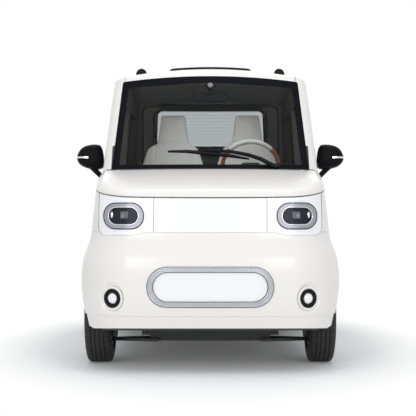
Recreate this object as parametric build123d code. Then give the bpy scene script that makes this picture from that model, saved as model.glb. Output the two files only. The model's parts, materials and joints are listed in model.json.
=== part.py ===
from build123d import *
import math
import os

os.makedirs("parts", exist_ok=True)

# A two-door micro electric car, in millimetres: +X its left side, +Y its tail, +Z up.
# The origin is on the ground, midway between nose and tail.

# Driving dimensions
FRONT_AXLE_Y = -890
REAR_AXLE_Y = 970
TYRE_RADIUS = 254
TYRE_WIDTH = 145
WHEEL_X = 602
RIM_RADIUS = 165
RIM_WIDTH = 118
FRONT_ARCH_RADIUS = 305
REAR_ARCH_RADIUS = 290
FRONT_ARCH_INNER_X = 380
REAR_ARCH_INNER_X = 490
LINER = 5
FAR_SIDE = 760
FAR_FRONT = -1500
FAR_REAR = 1500
SIDE_WALL = 50
END_WALL = 40
ROOF_WALL = 32
HOOD_WALL = 28
PANEL_GAP = 7
LINE_WIDTH = 4
LINE_DEPTH = 5
BEARING_FIT = 0.4
BARREL_RADIUS = 8
PIN_RADIUS = 3.5
PIN_FIT = 0.3
BARREL_ROOM = 13.5
KNUCKLE_GAP = 0.5

# Plan outlines of the lower body, bottom to top. Columns: height, half width at the middle, nose y,
# tail y, front corner radius, rear corner radius, bow (how much narrower the sides are towards the ends)
TUB_ROWS = [
    (200, 652, -1372, 1362, 290, 225, -28),
    (295, 668, -1388, 1386, 315, 235, -30),
    (390, 676, -1398, 1398, 330, 240, -30),
    (485, 677, -1400, 1400, 330, 240, -23),
    (580, 670, -1393, 1393, 325, 235, -15),
    (675, 650, -1358, 1360, 290, 222, 6),
    (770, 644, -1342, 1346, 262, 212, 18),
    (865, 640, -1333, 1338, 248, 205, 28),
    (960, 634, -1318, 1330, 240, 200, 34),
    (1055, 628, -1300, 1322, 235, 196, 36),
    (1150, 620, -1280, 1312, 232, 192, 36),
]
# Plan outlines of the cabin above the belt line, same columns
CABIN_ROWS = [
    (950, 624, -946, 1322, 104, 172, 8),
    (1085, 614, -862, 1304, 104, 168, 8),
    (1220, 604, -775, 1288, 104, 164, 8),
    (1355, 594, -692, 1270, 104, 160, 8),
    (1490, 583, -610, 1252, 104, 156, 8),
    (1625, 568, -530, 1232, 104, 152, 8),
    (1760, 548, -452, 1208, 104, 148, 8),
]
NOSE_BOW = 40
SCREEN_BOW = 100
# Top of the lower body along the car. Columns: y, height on the centre line, drop at the crown's edge
HOOD_ROWS = [
    (-1600, 820, 62),
    (-1250, 966, 47),
    (-900, 1062, 34),
    (-550, 1094, 26),
    (-200, 1100, 22),
    (150, 1102, 20),
    (500, 1102, 20),
    (850, 1102, 20),
    (1200, 1102, 20),
    (1550, 1102, 20),
]
# Top of the roof along the car, same columns
ROOF_ROWS = [
    (-1000, 1510, 116),
    (-650, 1628, 116),
    (-300, 1677, 116),
    (50, 1686, 116),
    (400, 1686, 116),
    (750, 1677, 116),
    (1100, 1660, 116),
    (1450, 1632, 116),
]
CROWN_HALF = 800
NOSE_ROUND = 48
ROOF_ROUND = 34

# Shut lines
FENDER_FRONT_Y = -1160
BUMPER_TOP_Z = 720
BAND_HALF = 585
BAND_LOW_Z = 705
BAND_REAR_Y = -1125
BAND_STEP = (335, 400)
BAND_CORNER = 40
BAND_SEAM_X = 292
BUMPER_FOOT = [(575, 205), (655, 235), (690, 330), (760, 420), (760, 1300)]
BUMPER_FOOT_CORNER = 40
BUMPER_RAKE = [(-1500, 242), (-1100, 205)]
LIP_Z = 293
LIP_DEPTH = 6
HOOD_LINE = [(-1600, 843), (-640, 1027)]
HOOD_REAR = [(-720, -794), (0, -905), (720, -794)]
COWL_REAR_Y = -700
PILLAR_FOOT_Z = 1030
PILLAR_FOOT_X = 556
SCREEN_FOOT = (554, 1050)
SCREEN_HEAD = (513, 1586)
SCREEN_TOP_Z = 1614
SCREEN_CORNER = 14
DOOR_SILL_Z = 300
DOOR_OUTLINE = [(-560, DOOR_SILL_Z), (385, DOOR_SILL_Z), (385, 1545), (-415, 1545), (-560, 1310)]
DOOR_CORNER = 55
DOOR_TAPER = 7
DOOR_WINDOW = [(-505, 1115), (325, 1115), (325, 1492), (-385, 1492), (-505, 1298)]
REAR_WINDOW_SIDE = [(470, 1125), (1085, 1125), (1050, 1482), (470, 1482)]
WINDOW_CORNER = 35
ROOF_SEAM_X = 500
ROOF_SEAM_Z = 1500
TAIL_HALF = 505
TAIL_TAPER = 12
TAIL_SILL_Z = 600
TAIL_TOP_Z = 1600
TAIL_CORNER = 60
TAIL_WINDOW = [(-400, 1290), (400, 1290), (388, 1560), (-388, 1560)]
TAIL_WINDOW_CORNER = 65
REAR_BUMPER_Z = 585
REAR_BUMPER_Y = 1180
DOOR_AXIS = [(691, 500), (644, 870)]
DOOR_AXIS_Y = -563.5
DOOR_HINGE_Z = [500, 870]
HOOD_AXIS_Y = -832
HOOD_AXIS_Z = 1050
HOOD_HINGE_X = 500
TAIL_AXIS_Y = 1241
TAIL_AXIS_Z = 1611
TAIL_HINGE_X = 280
EYE_HALF = 12

# Lamps and trim. Lamps: centre x, centre z, width, height
HEAD_LAMP = (450, 805, 216, 138)
HEAD_LAMP_CORNER = 66
LENS = (154, 86)
LENS_CORNER = 41
LENS_DEPTH = 9
TAIL_LAMP = (556, 790, 104, 250)
TAIL_LAMP_FRONT_Y = 1190
FOG_CENTRE = (503, -1350, 382)
FOG_RADIUS = 48
FOG_TURN = 27
FOG_GAP = 4
FOG_LENS_RADIUS = 29
FOG_DISH_RADIUS = 84
FOG_DISH_DEPTH = 12
HANDLE_X = 638
HANDLE_Y = 268
HANDLE_Z = 872
HANDLE_DEPTH = 15
PLATE_POCKET = (532, 122)
PLATE_CORNER = 12
PLATE_Z = 722
PLATE_FACE_Y = 1336
PLATE_HOLE_X = 105
PLATE_HOLE_RADIUS = 3
PLATE_HOLE_DEPTH = 14
GRILLE_Z = 442
GRILLE_RING = (646, 203, 590, 153)
SUNROOF = (476, 740)
SUNROOF_Y = -20
SUNROOF_CORNER = 60
SUNROOF_RISE = 14
GLASS_INSET = 3
GLASS_WALL = 5
LAMP_PROUD = 4
LAMP_WALL = 30
RING_PROUD = 7
RING_SEAT = 9
RAIL_X = 412
RAIL_RISE = 34
RAIL_WIDTH = 26
RAIL_HEIGHT = 20
RAIL_FOOT = (64, 86)
RAIL_ENDS = (-340, 960)

MIRROR_OUTLINE = [(628, 1082), (772, 1088), (794, 1146), (712, 1226), (634, 1224)]
MIRROR_CORNER = 26
MIRROR_BACK_Y = -408
MIRROR_DEPTH = 88
MIRROR_TAPER = 14
MIRROR_ROUND = 16
MIRROR_RIM = 9
MIRROR_RECESS = 4
MIRROR_STALK = [(636, -448, 1022), (668, -448, 1100)]
MIRROR_STALK_RADIUS = 16
WIPER_PIVOT = (369, -846, 1066)
WIPER_ARM_END = (-20, -846, 1164)
WIPER_ARM_RADIUS = 5.5
WIPER_BLADE = [(-237, -836, 1170), (-20, -846, 1160), (216, -846, 1124)]
WIPER_BLADE_RADIUS = 5

# Inside and underneath
TRAY_INSET = 14
FLOOR_Z = 250
FLOOR_FRONT_Y = -573
FLOOR_KICK_Y = 660
REAR_FLOOR_Z = 557
TRAY_Z = 570
DASH_FRONT_Y = -780
BINNACLE = [(-700, 990), (-520, 960), (-505, 1052), (-560, 1066), (-680, 1030)]
BINNACLE_CORNER = 14
BINNACLE_HALF = 125
SEAT_X = 243
SEAT_BOX_Z = 480
SEAT_OUTLINE = [(190, 560), (215, 640), (215, 1130), (178, 1240), (116, 1284), (80, 1478)]
SEAT_CORNER = 22
SEAT_SIDE = [(160, 560), (280, 560), (404, 1278), (424, 1462), (352, 1478), (296, 1262)]
SEAT_SIDE_CORNER = 24
CUSHION = (215, -250, 215, 610, 34)
SEAT_BOX_HALF = (170, 190)
SHEET = 12
BENCH_HALF = 470
BENCH_CUSHION = (640, 1100, 655, 30)
BENCH_BACK = [(1062, 657), (1170, 657), (1240, 1150), (1165, 1165)]
BENCH_CORNER = 25
CABIN_MIRROR = (102, -514, -488, 1462, 1522, 9)
CABIN_MIRROR_STEM = [(0, -500, 1500), (0, -556, 1572)]
BATTERY = (400, -440, 640, 150, 20)
MOTOR = (150, 850, 1085, 165, 345)
DASHBOARD = [(DASH_FRONT_Y, 800), (-500, 800), (-470, 880), (-500, 985), (DASH_FRONT_Y, 1022)]
STEERING_CENTRE = (243, -250, 1096)
STEERING_RADIUS = 182
STEERING_GRIP = 12
STEERING_HUB = (52, 34)
COLUMN_TILT = 30
COLUMN_RADIUS = 26
COLUMN_SHAFT = 9
SPOKE_TURNS = (0, 90, 180)
SPOKE = (142, 34, 14)
KINGPIN = [(530, -890, 150), (445, -890, 760)]
TOWER_BORE = 62
STRUT_ROD = 9
SPRING_PITCH = 45
SPRING_RADIUS = 44
SPRING_WIRE = 5.5
SPRING_FOOT_Z = 534
SPRING_HEIGHT = 182
AXLE_STUB_RADIUS = 14
RACK_Y = -770
RACK_Z = 218
RACK_ROD = 9
RACK_HOUSING = (235, 20)
ROD_END = (484, 506, 11)
STEER_ARM = (488, 512, -870, -758, 239, 252)
LOWER_ARM = [(280, -975), (280, -805), (400, -830), (545, -866), (556, -890), (545, -914), (400, -950)]
LOWER_ARM_Z = (118, 133)
LOWER_PIN_RADIUS = 7
UNDERTRAY_SIDE = [(-1500, 232), (-1100, 195), (-1100, 205), (-1500, 242)]
REAR_AXLE_RADIUS = 30
REAR_SPRING = (400, 42)
RIM_SLOTS = 8
SLOT_CIRCLE = 118
SLOT_RADIUS = 17
RIM_WALL = 11
RIM_FLANGE = 7
RIM_FLANGE_WIDTH = 6


# Helpers
def save(name, shape):
    export_step(shape, f"parts/{name}.step")


def block(x0, x1, y0, y1, z0, z1):
    return Pos((x0 + x1) / 2, (y0 + y1) / 2, (z0 + z1) / 2) * Box(x1 - x0, y1 - y0, z1 - z0)


def slab(x0, x1, y0, y1, z0, z1, radius):
    """Block with all its edges rounded."""
    solid = block(x0, x1, y0, y1, z0, z1)
    return fillet(solid.edges(), radius)


def rounded(points, radius=0):
    face = make_face(Polyline(*points, close=True))
    return fillet(face.vertices(), radius) if radius else face


def side_prism(face, x0, x1):
    """Face drawn in (y, z), drawn out from x0 to x1."""
    return extrude(Plane.YZ.offset(x0) * face, x1 - x0)


def front_prism(face, y0, y1):
    """Face drawn in (x, z), drawn out from y0 back to y1."""
    return extrude(Plane.XZ.offset(-y1) * face, y1 - y0)


def plan_prism(face, z0, z1):
    return extrude(Plane.XY.offset(z0) * face, z1 - z0)


def rod(start, end, radius):
    """Cylinder between two points."""
    start, end = Vector(*start), Vector(*end)
    line = end - start
    return extrude(Plane(origin=start, z_dir=line) * Circle(radius), line.length)


def cross_rod(x0, x1, y, z, radius):
    """Cylinder across the car."""
    return rod((x0, y, z), (x1, y, z), radius)


def mirrored(shape):
    return mirror(shape, about=Plane.YZ)


def both(shape):
    return shape + mirrored(shape)


def plan_outline(row, bow_end, side_in=0, end_in=0):
    """Closed plan outline at one height: bowed ends and sides with rounded corners."""
    z, half, nose, tail, front_radius, rear_radius, bow = row
    half, nose, tail = half - side_in, nose + end_in, tail - end_in
    corner = half - bow
    middle = (nose + tail) / 2
    front = ThreePointArc((-corner, nose + bow_end), (0, nose), (corner, nose + bow_end))
    left = ThreePointArc((corner, nose + bow_end), (half, middle), (corner, tail - NOSE_BOW))
    rear = ThreePointArc((corner, tail - NOSE_BOW), (0, tail), (-corner, tail - NOSE_BOW))
    right = ThreePointArc((-corner, tail - NOSE_BOW), (-half, middle), (-corner, nose + bow_end))
    face = Face(Wire([e.edge() for e in (front, left, rear, right)]))
    less = max(side_in, end_in)
    face = face.fillet_2d(front_radius - less, face.vertices().sort_by(Axis.Y)[:2])
    rear_from = max(middle, tail - 2 * NOSE_BOW)
    rear_corners = [v for v in face.vertices() if abs(v.X) > half / 2 and v.Y > rear_from]
    face = face.fillet_2d(rear_radius - less, rear_corners)
    return Pos(0, 0, z) * face


def under_crown(rows, lower=0):
    """Everything below a crowned surface that runs along the car."""
    faces = []
    for y, z, drop in rows:
        z -= lower
        top = ThreePointArc((-CROWN_HALF, 0, z - drop), (0, 0, z), (CROWN_HALF, 0, z - drop))
        rest = Polyline(
            (CROWN_HALF, 0, z - drop), (CROWN_HALF, 0, -100), (-CROWN_HALF, 0, -100), (-CROWN_HALF, 0, z - drop)
        )
        faces.append(Pos(0, y, 0) * Face(Wire(top.edges() + rest.edges())))
    return loft(faces)


def crowned(rows, bow_end, crown, side_in, end_in, lower, rounding):
    """Loft of plan outlines, cut by a crowned top whose edge is rounded."""
    body = loft([plan_outline(r, bow_end, side_in, end_in) for r in rows])
    body = body & under_crown(crown, lower)
    if rounding:
        body = fillet(body.faces().sort_by(Axis.Z)[-1].edges(), rounding)
    return body


def tub(side_in=0, end_in=0, lower=0, rounding=NOSE_ROUND):
    return crowned(TUB_ROWS, NOSE_BOW, HOOD_ROWS, side_in, end_in, lower, rounding)


def cabin(side_in=0, end_in=0, lower=0, rounding=ROOF_ROUND):
    return crowned(CABIN_ROWS, SCREEN_BOW, ROOF_ROWS, side_in, end_in, lower, rounding)


# The outside skin and the room inside it
outer_tub = tub()
outer_cabin = cabin()
outer = outer_tub + outer_cabin
inner_tub = tub(SIDE_WALL, END_WALL, HOOD_WALL, 0)
inner_cabin = cabin(SIDE_WALL, END_WALL, ROOF_WALL, 0)
inner = inner_tub + inner_cabin
skin = outer - inner
glass_back = GLASS_INSET + GLASS_WALL
cabin_inside_glass = cabin(glass_back, glass_back, glass_back, ROOF_ROUND - glass_back)
glass_layer = cabin(GLASS_INSET, GLASS_INSET, GLASS_INSET, ROOF_ROUND - GLASS_INSET) - cabin_inside_glass
lamp_back = LAMP_WALL - LAMP_PROUD
proud_layer = tub(-LAMP_PROUD, -LAMP_PROUD, -LAMP_PROUD) - tub(lamp_back, lamp_back, lamp_back, 20)

# Openings
front_arch = both(cross_rod(FRONT_ARCH_INNER_X, FAR_SIDE, FRONT_AXLE_Y, TYRE_RADIUS, FRONT_ARCH_RADIUS))
rear_arch = both(cross_rod(REAR_ARCH_INNER_X, FAR_SIDE, REAR_AXLE_Y, TYRE_RADIUS, REAR_ARCH_RADIUS))
skin = skin - front_arch - rear_arch

hood_front = [HOOD_LINE[0], HOOD_LINE[1], (-640, 1300), (-1600, 1300)]
hood_side = side_prism(rounded(hood_front), -800, 800)
rear_arc = ThreePointArc(*HOOD_REAR)
hood_sides = Polyline(HOOD_REAR[2], (720, -1600), (-720, -1600), HOOD_REAR[0])
hood_plan = make_face(rear_arc.edges() + hood_sides.edges())
hood_room = hood_side & plan_prism(hood_plan, 700, 1300)
hood_room_in = (Pos(0, 0, PANEL_GAP) * hood_side) & (Pos(0, -PANEL_GAP, 0) * plan_prism(hood_plan, 700, 1300))

(foot_x, foot_z), (head_x, head_z) = SCREEN_FOOT, SCREEN_HEAD
screen_sides = Polyline((-head_x, head_z), (-foot_x, foot_z), (foot_x, foot_z), (head_x, head_z))
screen_top = ThreePointArc((head_x, head_z), (0, SCREEN_TOP_Z), (-head_x, head_z))
screen_face = make_face(screen_sides.edges() + screen_top.edges())
screen_face = fillet(screen_face.vertices(), SCREEN_CORNER)
screen_prism = front_prism(screen_face, -1100, -350)
screen_room = screen_prism & outer_cabin

door_face = rounded(DOOR_OUTLINE, DOOR_CORNER)
door_solid = extrude(Plane.YZ.offset(740) * door_face, -260, taper=DOOR_TAPER)
door_room = extrude(Plane.YZ.offset(740) * offset(door_face, PANEL_GAP), -260, taper=DOOR_TAPER)
window_room = both(side_prism(rounded(DOOR_WINDOW, WINDOW_CORNER), 400, 740))
quarter_room = both(side_prism(rounded(REAR_WINDOW_SIDE, WINDOW_CORNER), 400, 740))

tail_top_half = TAIL_HALF - TAIL_TAPER
tail_points = [(-TAIL_HALF, TAIL_SILL_Z), (TAIL_HALF, TAIL_SILL_Z), (tail_top_half, TAIL_TOP_Z)]
tail_face = rounded(tail_points + [(-tail_top_half, TAIL_TOP_Z)], TAIL_CORNER)
tail_solid = front_prism(tail_face, 1100, 1500)
tail_room = front_prism(offset(tail_face, PANEL_GAP), 1100, 1500)
tail_window_room = front_prism(rounded(TAIL_WINDOW, TAIL_WINDOW_CORNER), 1100, 1500)

# Hinge axes
tilt = math.atan2(DOOR_AXIS[0][0] - DOOR_AXIS[1][0], DOOR_AXIS[1][1] - DOOR_AXIS[0][1])
door_dir = Vector(-math.sin(tilt), 0, math.cos(tilt))


def door_axis_point(z):
    (x0, z0), (x1, z1) = DOOR_AXIS
    return Vector(x0 + (x1 - x0) * (z - z0) / (z1 - z0), DOOR_AXIS_Y, z)


def door_rod(z, low, high, radius):
    """Cylinder on the left door's hinge axis, from low to high along it about height z."""
    at = door_axis_point(z)
    return rod(at + door_dir * low, at + door_dir * high, radius)


door_clear = Part()
door_lug_room = Part()
door_body_lugs = Part()
door_door_lugs = Part()
for z in DOOR_HINGE_Z:
    at = door_axis_point(z)
    door_clear += door_rod(z, -34, 34, BARREL_ROOM)
    door_lug_room += block(at.X - 42, at.X, DOOR_AXIS_Y - 3, DOOR_AXIS_Y + 60, z - 4, z + 33)
    lug = door_rod(z, -28, -KNUCKLE_GAP / 2, BARREL_RADIUS)
    lug += block(at.X - 34, at.X, DOOR_AXIS_Y - 30, DOOR_AXIS_Y - 2, z - 26, z - 3)
    door_body_lugs += lug - door_rod(z, -KNUCKLE_GAP / 2, 40, BARREL_ROOM)
    lug = door_rod(z, KNUCKLE_GAP / 2, 28, BARREL_RADIUS)
    lug += block(at.X - 34, at.X, DOOR_AXIS_Y + 2, DOOR_AXIS_Y + 30, z + 3, z + 26)
    door_door_lugs += lug - door_rod(z, -40, KNUCKLE_GAP / 2, BARREL_ROOM)
for z in DOOR_HINGE_Z:
    door_body_lugs += door_rod(z, -20, 24, PIN_RADIUS)
    door_door_lugs -= door_rod(z, -40, 40, PIN_RADIUS + PIN_FIT)


# Lamps, ring and plate in the nose
def lamp_prism(lamp, y0, y1):
    x, z, width, height = lamp
    return front_prism(Pos(x, z) * Ellipse(width / 2, height / 2), y0, y1)


nose_floor = tub(LIP_DEPTH, LIP_DEPTH, LIP_DEPTH)
lamp_x, lamp_z, lamp_width, lamp_height = HEAD_LAMP
head_lamp_prism = front_prism(
    Pos(lamp_x, lamp_z) * RectangleRounded(lamp_width, lamp_height, HEAD_LAMP_CORNER), -1500, -1100
)
lens_prism = front_prism(Pos(lamp_x, lamp_z) * RectangleRounded(*LENS, LENS_CORNER), FAR_FRONT, -1100)
head_lamp_room = both(head_lamp_prism)
head_lamp = (proud_layer & head_lamp_prism) - (lens_prism - tub(LENS_DEPTH, LENS_DEPTH, LENS_DEPTH))
tail_lamp_prism = lamp_prism(TAIL_LAMP, TAIL_LAMP_FRONT_Y, 1500)
tail_lamp_room = both(tail_lamp_prism)
tail_lamp = proud_layer & tail_lamp_prism

fog_dir = Vector(math.sin(math.radians(FOG_TURN)), -math.cos(math.radians(FOG_TURN)), 0)
fog_at = Vector(*FOG_CENTRE)
fog_plane = Plane(origin=fog_at, z_dir=fog_dir)
fog_room = rod(fog_at - fog_dir * 18, fog_at + fog_dir * 120, FOG_RADIUS + FOG_GAP)
fog_dish = loft([
    fog_plane.offset(-FOG_DISH_DEPTH) * Circle(FOG_RADIUS + FOG_GAP),
    fog_plane.offset(FOG_DISH_DEPTH * 2) * Circle(2 * FOG_DISH_RADIUS - FOG_RADIUS),
])
fog_room = both(fog_room) + both(fog_dish)
fog_lamp = rod(fog_at - fog_dir * 18, fog_at + fog_dir * 2, FOG_RADIUS)
fog_lamp -= rod(fog_at - fog_dir * 6, fog_at + fog_dir * 10, FOG_LENS_RADIUS)

ring_outer = front_prism(Pos(0, GRILLE_Z) * SlotOverall(GRILLE_RING[0], GRILLE_RING[1]), FAR_FRONT, -1200)
ring_inner = front_prism(Pos(0, GRILLE_Z) * SlotOverall(GRILLE_RING[2], GRILLE_RING[3]), FAR_FRONT, -1200)
ring_seat = tub(RING_SEAT, RING_SEAT, RING_SEAT)
ring_layer = tub(-RING_PROUD, -RING_PROUD, -RING_PROUD) - ring_seat
grille_ring = ring_layer & (ring_outer - ring_inner)
ring_room = (ring_outer - ring_inner) - ring_seat
panel_room = ring_inner - nose_floor

# Outline of the band between the headlamps, and the shallow lines where fixed panels meet
band_side = [
    (BAND_STEP[0], BUMPER_TOP_Z),
    (BAND_STEP[1], BAND_LOW_Z),
    (BAND_HALF, BAND_LOW_Z),
    (BAND_HALF, 1100),
]
band_face = make_face(Polyline(*band_side, *[(-x, z) for x, z in reversed(band_side)], close=True))
band_face = fillet([v for v in band_face.vertices() if v.Y < 1000], BAND_CORNER)
band_prism = front_prism(band_face, -1500, BAND_REAR_Y)
half_line = LINE_WIDTH / 2


def level_line(x0, y0, y1, z):
    """Room of a level shut line from x0 out to the side."""
    return block(x0, FAR_SIDE, y0, y1, z - half_line, z + half_line)


lines = front_prism(offset(band_face, half_line) - offset(band_face, -half_line), -1500, FENDER_FRONT_Y)
lines += both(
    block(BAND_SEAM_X - half_line, BAND_SEAM_X + half_line, FAR_FRONT, FENDER_FRONT_Y, BUMPER_TOP_Z, 1100)
)
lines += both(level_line(BAND_HALF, FAR_FRONT, FENDER_FRONT_Y, BUMPER_TOP_Z))
lines += block(-FAR_SIDE, FAR_SIDE, FENDER_FRONT_Y - half_line, FENDER_FRONT_Y + half_line, 100, BUMPER_TOP_Z)
lines += both(level_line(PILLAR_FOOT_X, -1000, DOOR_AXIS_Y, PILLAR_FOOT_Z))
lines += both(block(ROOF_SEAM_X - half_line, ROOF_SEAM_X + half_line, -620, FAR_REAR, ROOF_SEAM_Z, 1800))
lines += level_line(-FAR_SIDE, REAR_BUMPER_Y, FAR_REAR, REAR_BUMPER_Z)
lines += block(-FAR_SIDE, FAR_SIDE, REAR_BUMPER_Y - half_line, REAR_BUMPER_Y + half_line, 100, REAR_BUMPER_Z)
cabin_under_lines = cabin(LINE_DEPTH, LINE_DEPTH, LINE_DEPTH, ROOF_ROUND - LINE_DEPTH)
lines -= tub(LINE_DEPTH, LINE_DEPTH, LINE_DEPTH) + cabin_under_lines

# Panels of the fixed body
fixed = skin - lines - hood_room - screen_room - both(door_room) - tail_room - quarter_room
bumper_room = block(-FAR_SIDE, FAR_SIDE, FAR_FRONT, FENDER_FRONT_Y, 100, BUMPER_TOP_Z)
foot_points = BUMPER_FOOT + [(-x, z) for x, z in reversed(BUMPER_FOOT)]
foot_face = make_face(Polyline(*foot_points, close=True))
foot_face = fillet([v for v in foot_face.vertices() if v.Y < 1000], BUMPER_FOOT_CORNER)
bumper_form = front_prism(foot_face, -1500, FENDER_FRONT_Y)
bumper_form &= side_prism(rounded(BUMPER_RAKE + [(-1100, 1300), (-1500, 1300)]), -FAR_SIDE, FAR_SIDE)
lip_room = block(-FAR_SIDE, FAR_SIDE, FAR_FRONT, FENDER_FRONT_Y, 100, LIP_Z) - nose_floor
rear_bumper_room = block(-FAR_SIDE, FAR_SIDE, REAR_BUMPER_Y, 1500, 100, REAR_BUMPER_Z)
fender_room = block(0, FAR_SIDE, FAR_FRONT, -500, DOOR_SILL_Z - PANEL_GAP, PILLAR_FOOT_Z)
fender_room += block(0, FAR_SIDE, FAR_FRONT, DOOR_AXIS_Y, 100, DOOR_SILL_Z - PANEL_GAP)
cowl_room = block(-PILLAR_FOOT_X, PILLAR_FOOT_X, -1000, COWL_REAR_Y, 900, 1200)
roof_room = block(-ROOF_SEAM_X, ROOF_SEAM_X, -1000, 1500, ROOF_SEAM_Z, 1800)

front_bumper = (fixed & bumper_room & bumper_form) - band_prism - fog_room - ring_room - panel_room - lip_room
nose_band = (fixed & band_prism) - head_lamp_room
fender = (fixed & fender_room) - bumper_room - band_prism - cowl_room - door_clear - door_lug_room
fender = fender + door_body_lugs
cowl = fixed & cowl_room
roof_panel = fixed & roof_room
rear_bumper = fixed & rear_bumper_room
side_frame = (fixed & block(0, FAR_SIDE, -1200, 1500, 100, 1800)) - roof_room - cowl_room - fender_room
side_frame = side_frame - rear_bumper_room - tail_lamp_room

# Lids and doors
hood = skin & hood_room_in
handle_pocket = slab(
    HANDLE_X - HANDLE_DEPTH, HANDLE_X + 60, HANDLE_Y - 62, HANDLE_Y + 62, HANDLE_Z - 30, HANDLE_Z + 30,
    HANDLE_DEPTH - 1,
)
handle_bar = slab(HANDLE_X - 7, HANDLE_X + 12, HANDLE_Y - 82, HANDLE_Y + 82, HANDLE_Z - 10, HANDLE_Z + 10, 7)
door = (skin & door_solid) - window_room - door_clear - handle_pocket + handle_bar + door_door_lugs
plate_face = Pos(0, PLATE_Z) * RectangleRounded(*PLATE_POCKET, PLATE_CORNER)
plate_pocket = front_prism(plate_face, PLATE_FACE_Y, FAR_REAR)
hole_start = (PLATE_HOLE_X, PLATE_FACE_Y - PLATE_HOLE_DEPTH, PLATE_Z)
plate_holes = both(rod(hole_start, (PLATE_HOLE_X, PLATE_FACE_Y + 5, PLATE_Z), PLATE_HOLE_RADIUS))
tailgate = (skin & tail_solid) - tail_window_room - plate_pocket - plate_holes


# Hood hinges: the hood's eye turns on a pin that the cowl holds
def hood_rod(low, high, radius):
    """Cylinder on the hood's hinge axis, between two distances from the hinge."""
    return cross_rod(HOOD_HINGE_X + low, HOOD_HINGE_X + high, HOOD_AXIS_Y, HOOD_AXIS_Z, radius)


hood_arm_y = HOOD_AXIS_Y - 60
hood_eye = hood_rod(0, 20, BARREL_RADIUS)
hood_eye += block(HOOD_HINGE_X, HOOD_HINGE_X + 20, hood_arm_y, HOOD_AXIS_Y, HOOD_AXIS_Z - 14, HOOD_AXIS_Z - 3)
hood_eye -= hood_rod(-5, 30, PIN_RADIUS + PIN_FIT)
hood_slot = block(
    HOOD_HINGE_X - KNUCKLE_GAP, HOOD_HINGE_X + 26, hood_arm_y, HOOD_AXIS_Y + BARREL_ROOM, HOOD_AXIS_Z - 24, 1200
)
hood_pin = hood_rod(-12, 18, PIN_RADIUS)
hood_fixed_eye = hood_rod(-22, -KNUCKLE_GAP, BARREL_RADIUS)
cowl = cowl - both(hood_slot) + both(hood_fixed_eye) + both(hood_pin)
hood = hood + both(hood_eye)


# Tailgate hinges: the eye on the lid turns on a pin in the roof's two eyes
def tail_rod(x0, x1, radius):
    """Cylinder on the tailgate's hinge axis."""
    return cross_rod(x0, x1, TAIL_AXIS_Y, TAIL_AXIS_Z, radius)


eye_low, eye_high = TAIL_HINGE_X - EYE_HALF, TAIL_HINGE_X + EYE_HALF
eye_rear = TAIL_AXIS_Y + BARREL_RADIUS
tail_clear = tail_rod(TAIL_HINGE_X - 36, TAIL_HINGE_X + 36, BARREL_ROOM)
tail_eye = tail_rod(eye_low, eye_high, BARREL_RADIUS)
tail_eye += block(eye_low, eye_high, TAIL_AXIS_Y - 24, eye_rear, TAIL_AXIS_Z - 34, TAIL_AXIS_Z - 12)
tail_eye += block(eye_low, eye_high, TAIL_AXIS_Y - 6, eye_rear, TAIL_AXIS_Z - 14, TAIL_AXIS_Z)
tail_eye -= tail_rod(TAIL_HINGE_X - 40, TAIL_HINGE_X + 40, PIN_RADIUS + PIN_FIT)
roof_eye = Part()
for x0, x1 in ((TAIL_HINGE_X - 34, eye_low - KNUCKLE_GAP), (eye_high + KNUCKLE_GAP, TAIL_HINGE_X + 34)):
    roof_eye += tail_rod(x0, x1, BARREL_RADIUS)
    roof_eye += block(x0, x1, TAIL_AXIS_Y - 26, TAIL_AXIS_Y, TAIL_AXIS_Z + 1, TAIL_AXIS_Z + BARREL_RADIUS + 12)
roof_eye += tail_rod(TAIL_HINGE_X - 30, TAIL_HINGE_X + 30, PIN_RADIUS)
roof_panel = roof_panel - both(tail_clear) + both(roof_eye)
tailgate = tailgate - both(tail_clear) + both(tail_eye)

# Glass
windshield = glass_layer & screen_prism
tailgate_glass = glass_layer & tail_window_room
door_glass = glass_layer & side_prism(rounded(DOOR_WINDOW, WINDOW_CORNER), 400, 740)
quarter_glass = glass_layer & side_prism(rounded(REAR_WINDOW_SIDE, WINDOW_CORNER), 400, 740)

# Things on the outside
sunroof = under_crown(ROOF_ROWS, -SUNROOF_RISE) - under_crown(ROOF_ROWS)
sunroof = sunroof & plan_prism(Pos(0, SUNROOF_Y) * RectangleRounded(*SUNROOF, SUNROOF_CORNER), 1500, 1800)


def roof_height(x, y):
    """Height of the crown, by its table."""
    for (y0, z0, drop), (y1, z1, _) in zip(ROOF_ROWS, ROOF_ROWS[1:]):
        if y <= y1:
            return z0 + (z1 - z0) * (y - y0) / (y1 - y0) - drop * (x / CROWN_HALF) ** 2


roof_solid = under_crown(ROOF_ROWS)
rail_layer = under_crown(ROOF_ROWS, -RAIL_RISE) - under_crown(ROOF_ROWS, RAIL_HEIGHT - RAIL_RISE)
roof_rail = rail_layer & block(RAIL_X - RAIL_WIDTH / 2, RAIL_X + RAIL_WIDTH / 2, *RAIL_ENDS, 1500, 1800)
foot_width, foot_length = RAIL_FOOT
for y in (RAIL_ENDS[0] + foot_length / 2, sum(RAIL_ENDS) / 2, RAIL_ENDS[1] - foot_length / 2):
    dome = Pos(RAIL_X, roof_height(RAIL_X, y)) * Ellipse(foot_width / 2, RAIL_RISE)
    roof_rail += front_prism(dome, y - foot_length / 2, y + foot_length / 2) - roof_solid

mirror_face = rounded(MIRROR_OUTLINE, MIRROR_CORNER)
mirror_back = Plane.XZ.offset(-MIRROR_BACK_Y)
door_mirror = extrude(mirror_back * mirror_face, MIRROR_DEPTH, taper=MIRROR_TAPER)
door_mirror = fillet(door_mirror.faces().sort_by(Axis.Y)[0].edges(), MIRROR_ROUND)
door_mirror -= extrude(mirror_back.offset(-1) * offset(mirror_face, -MIRROR_RIM), MIRROR_RECESS + 1)
door_mirror += rod(*MIRROR_STALK, MIRROR_STALK_RADIUS)
door_mirror -= outer

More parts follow.
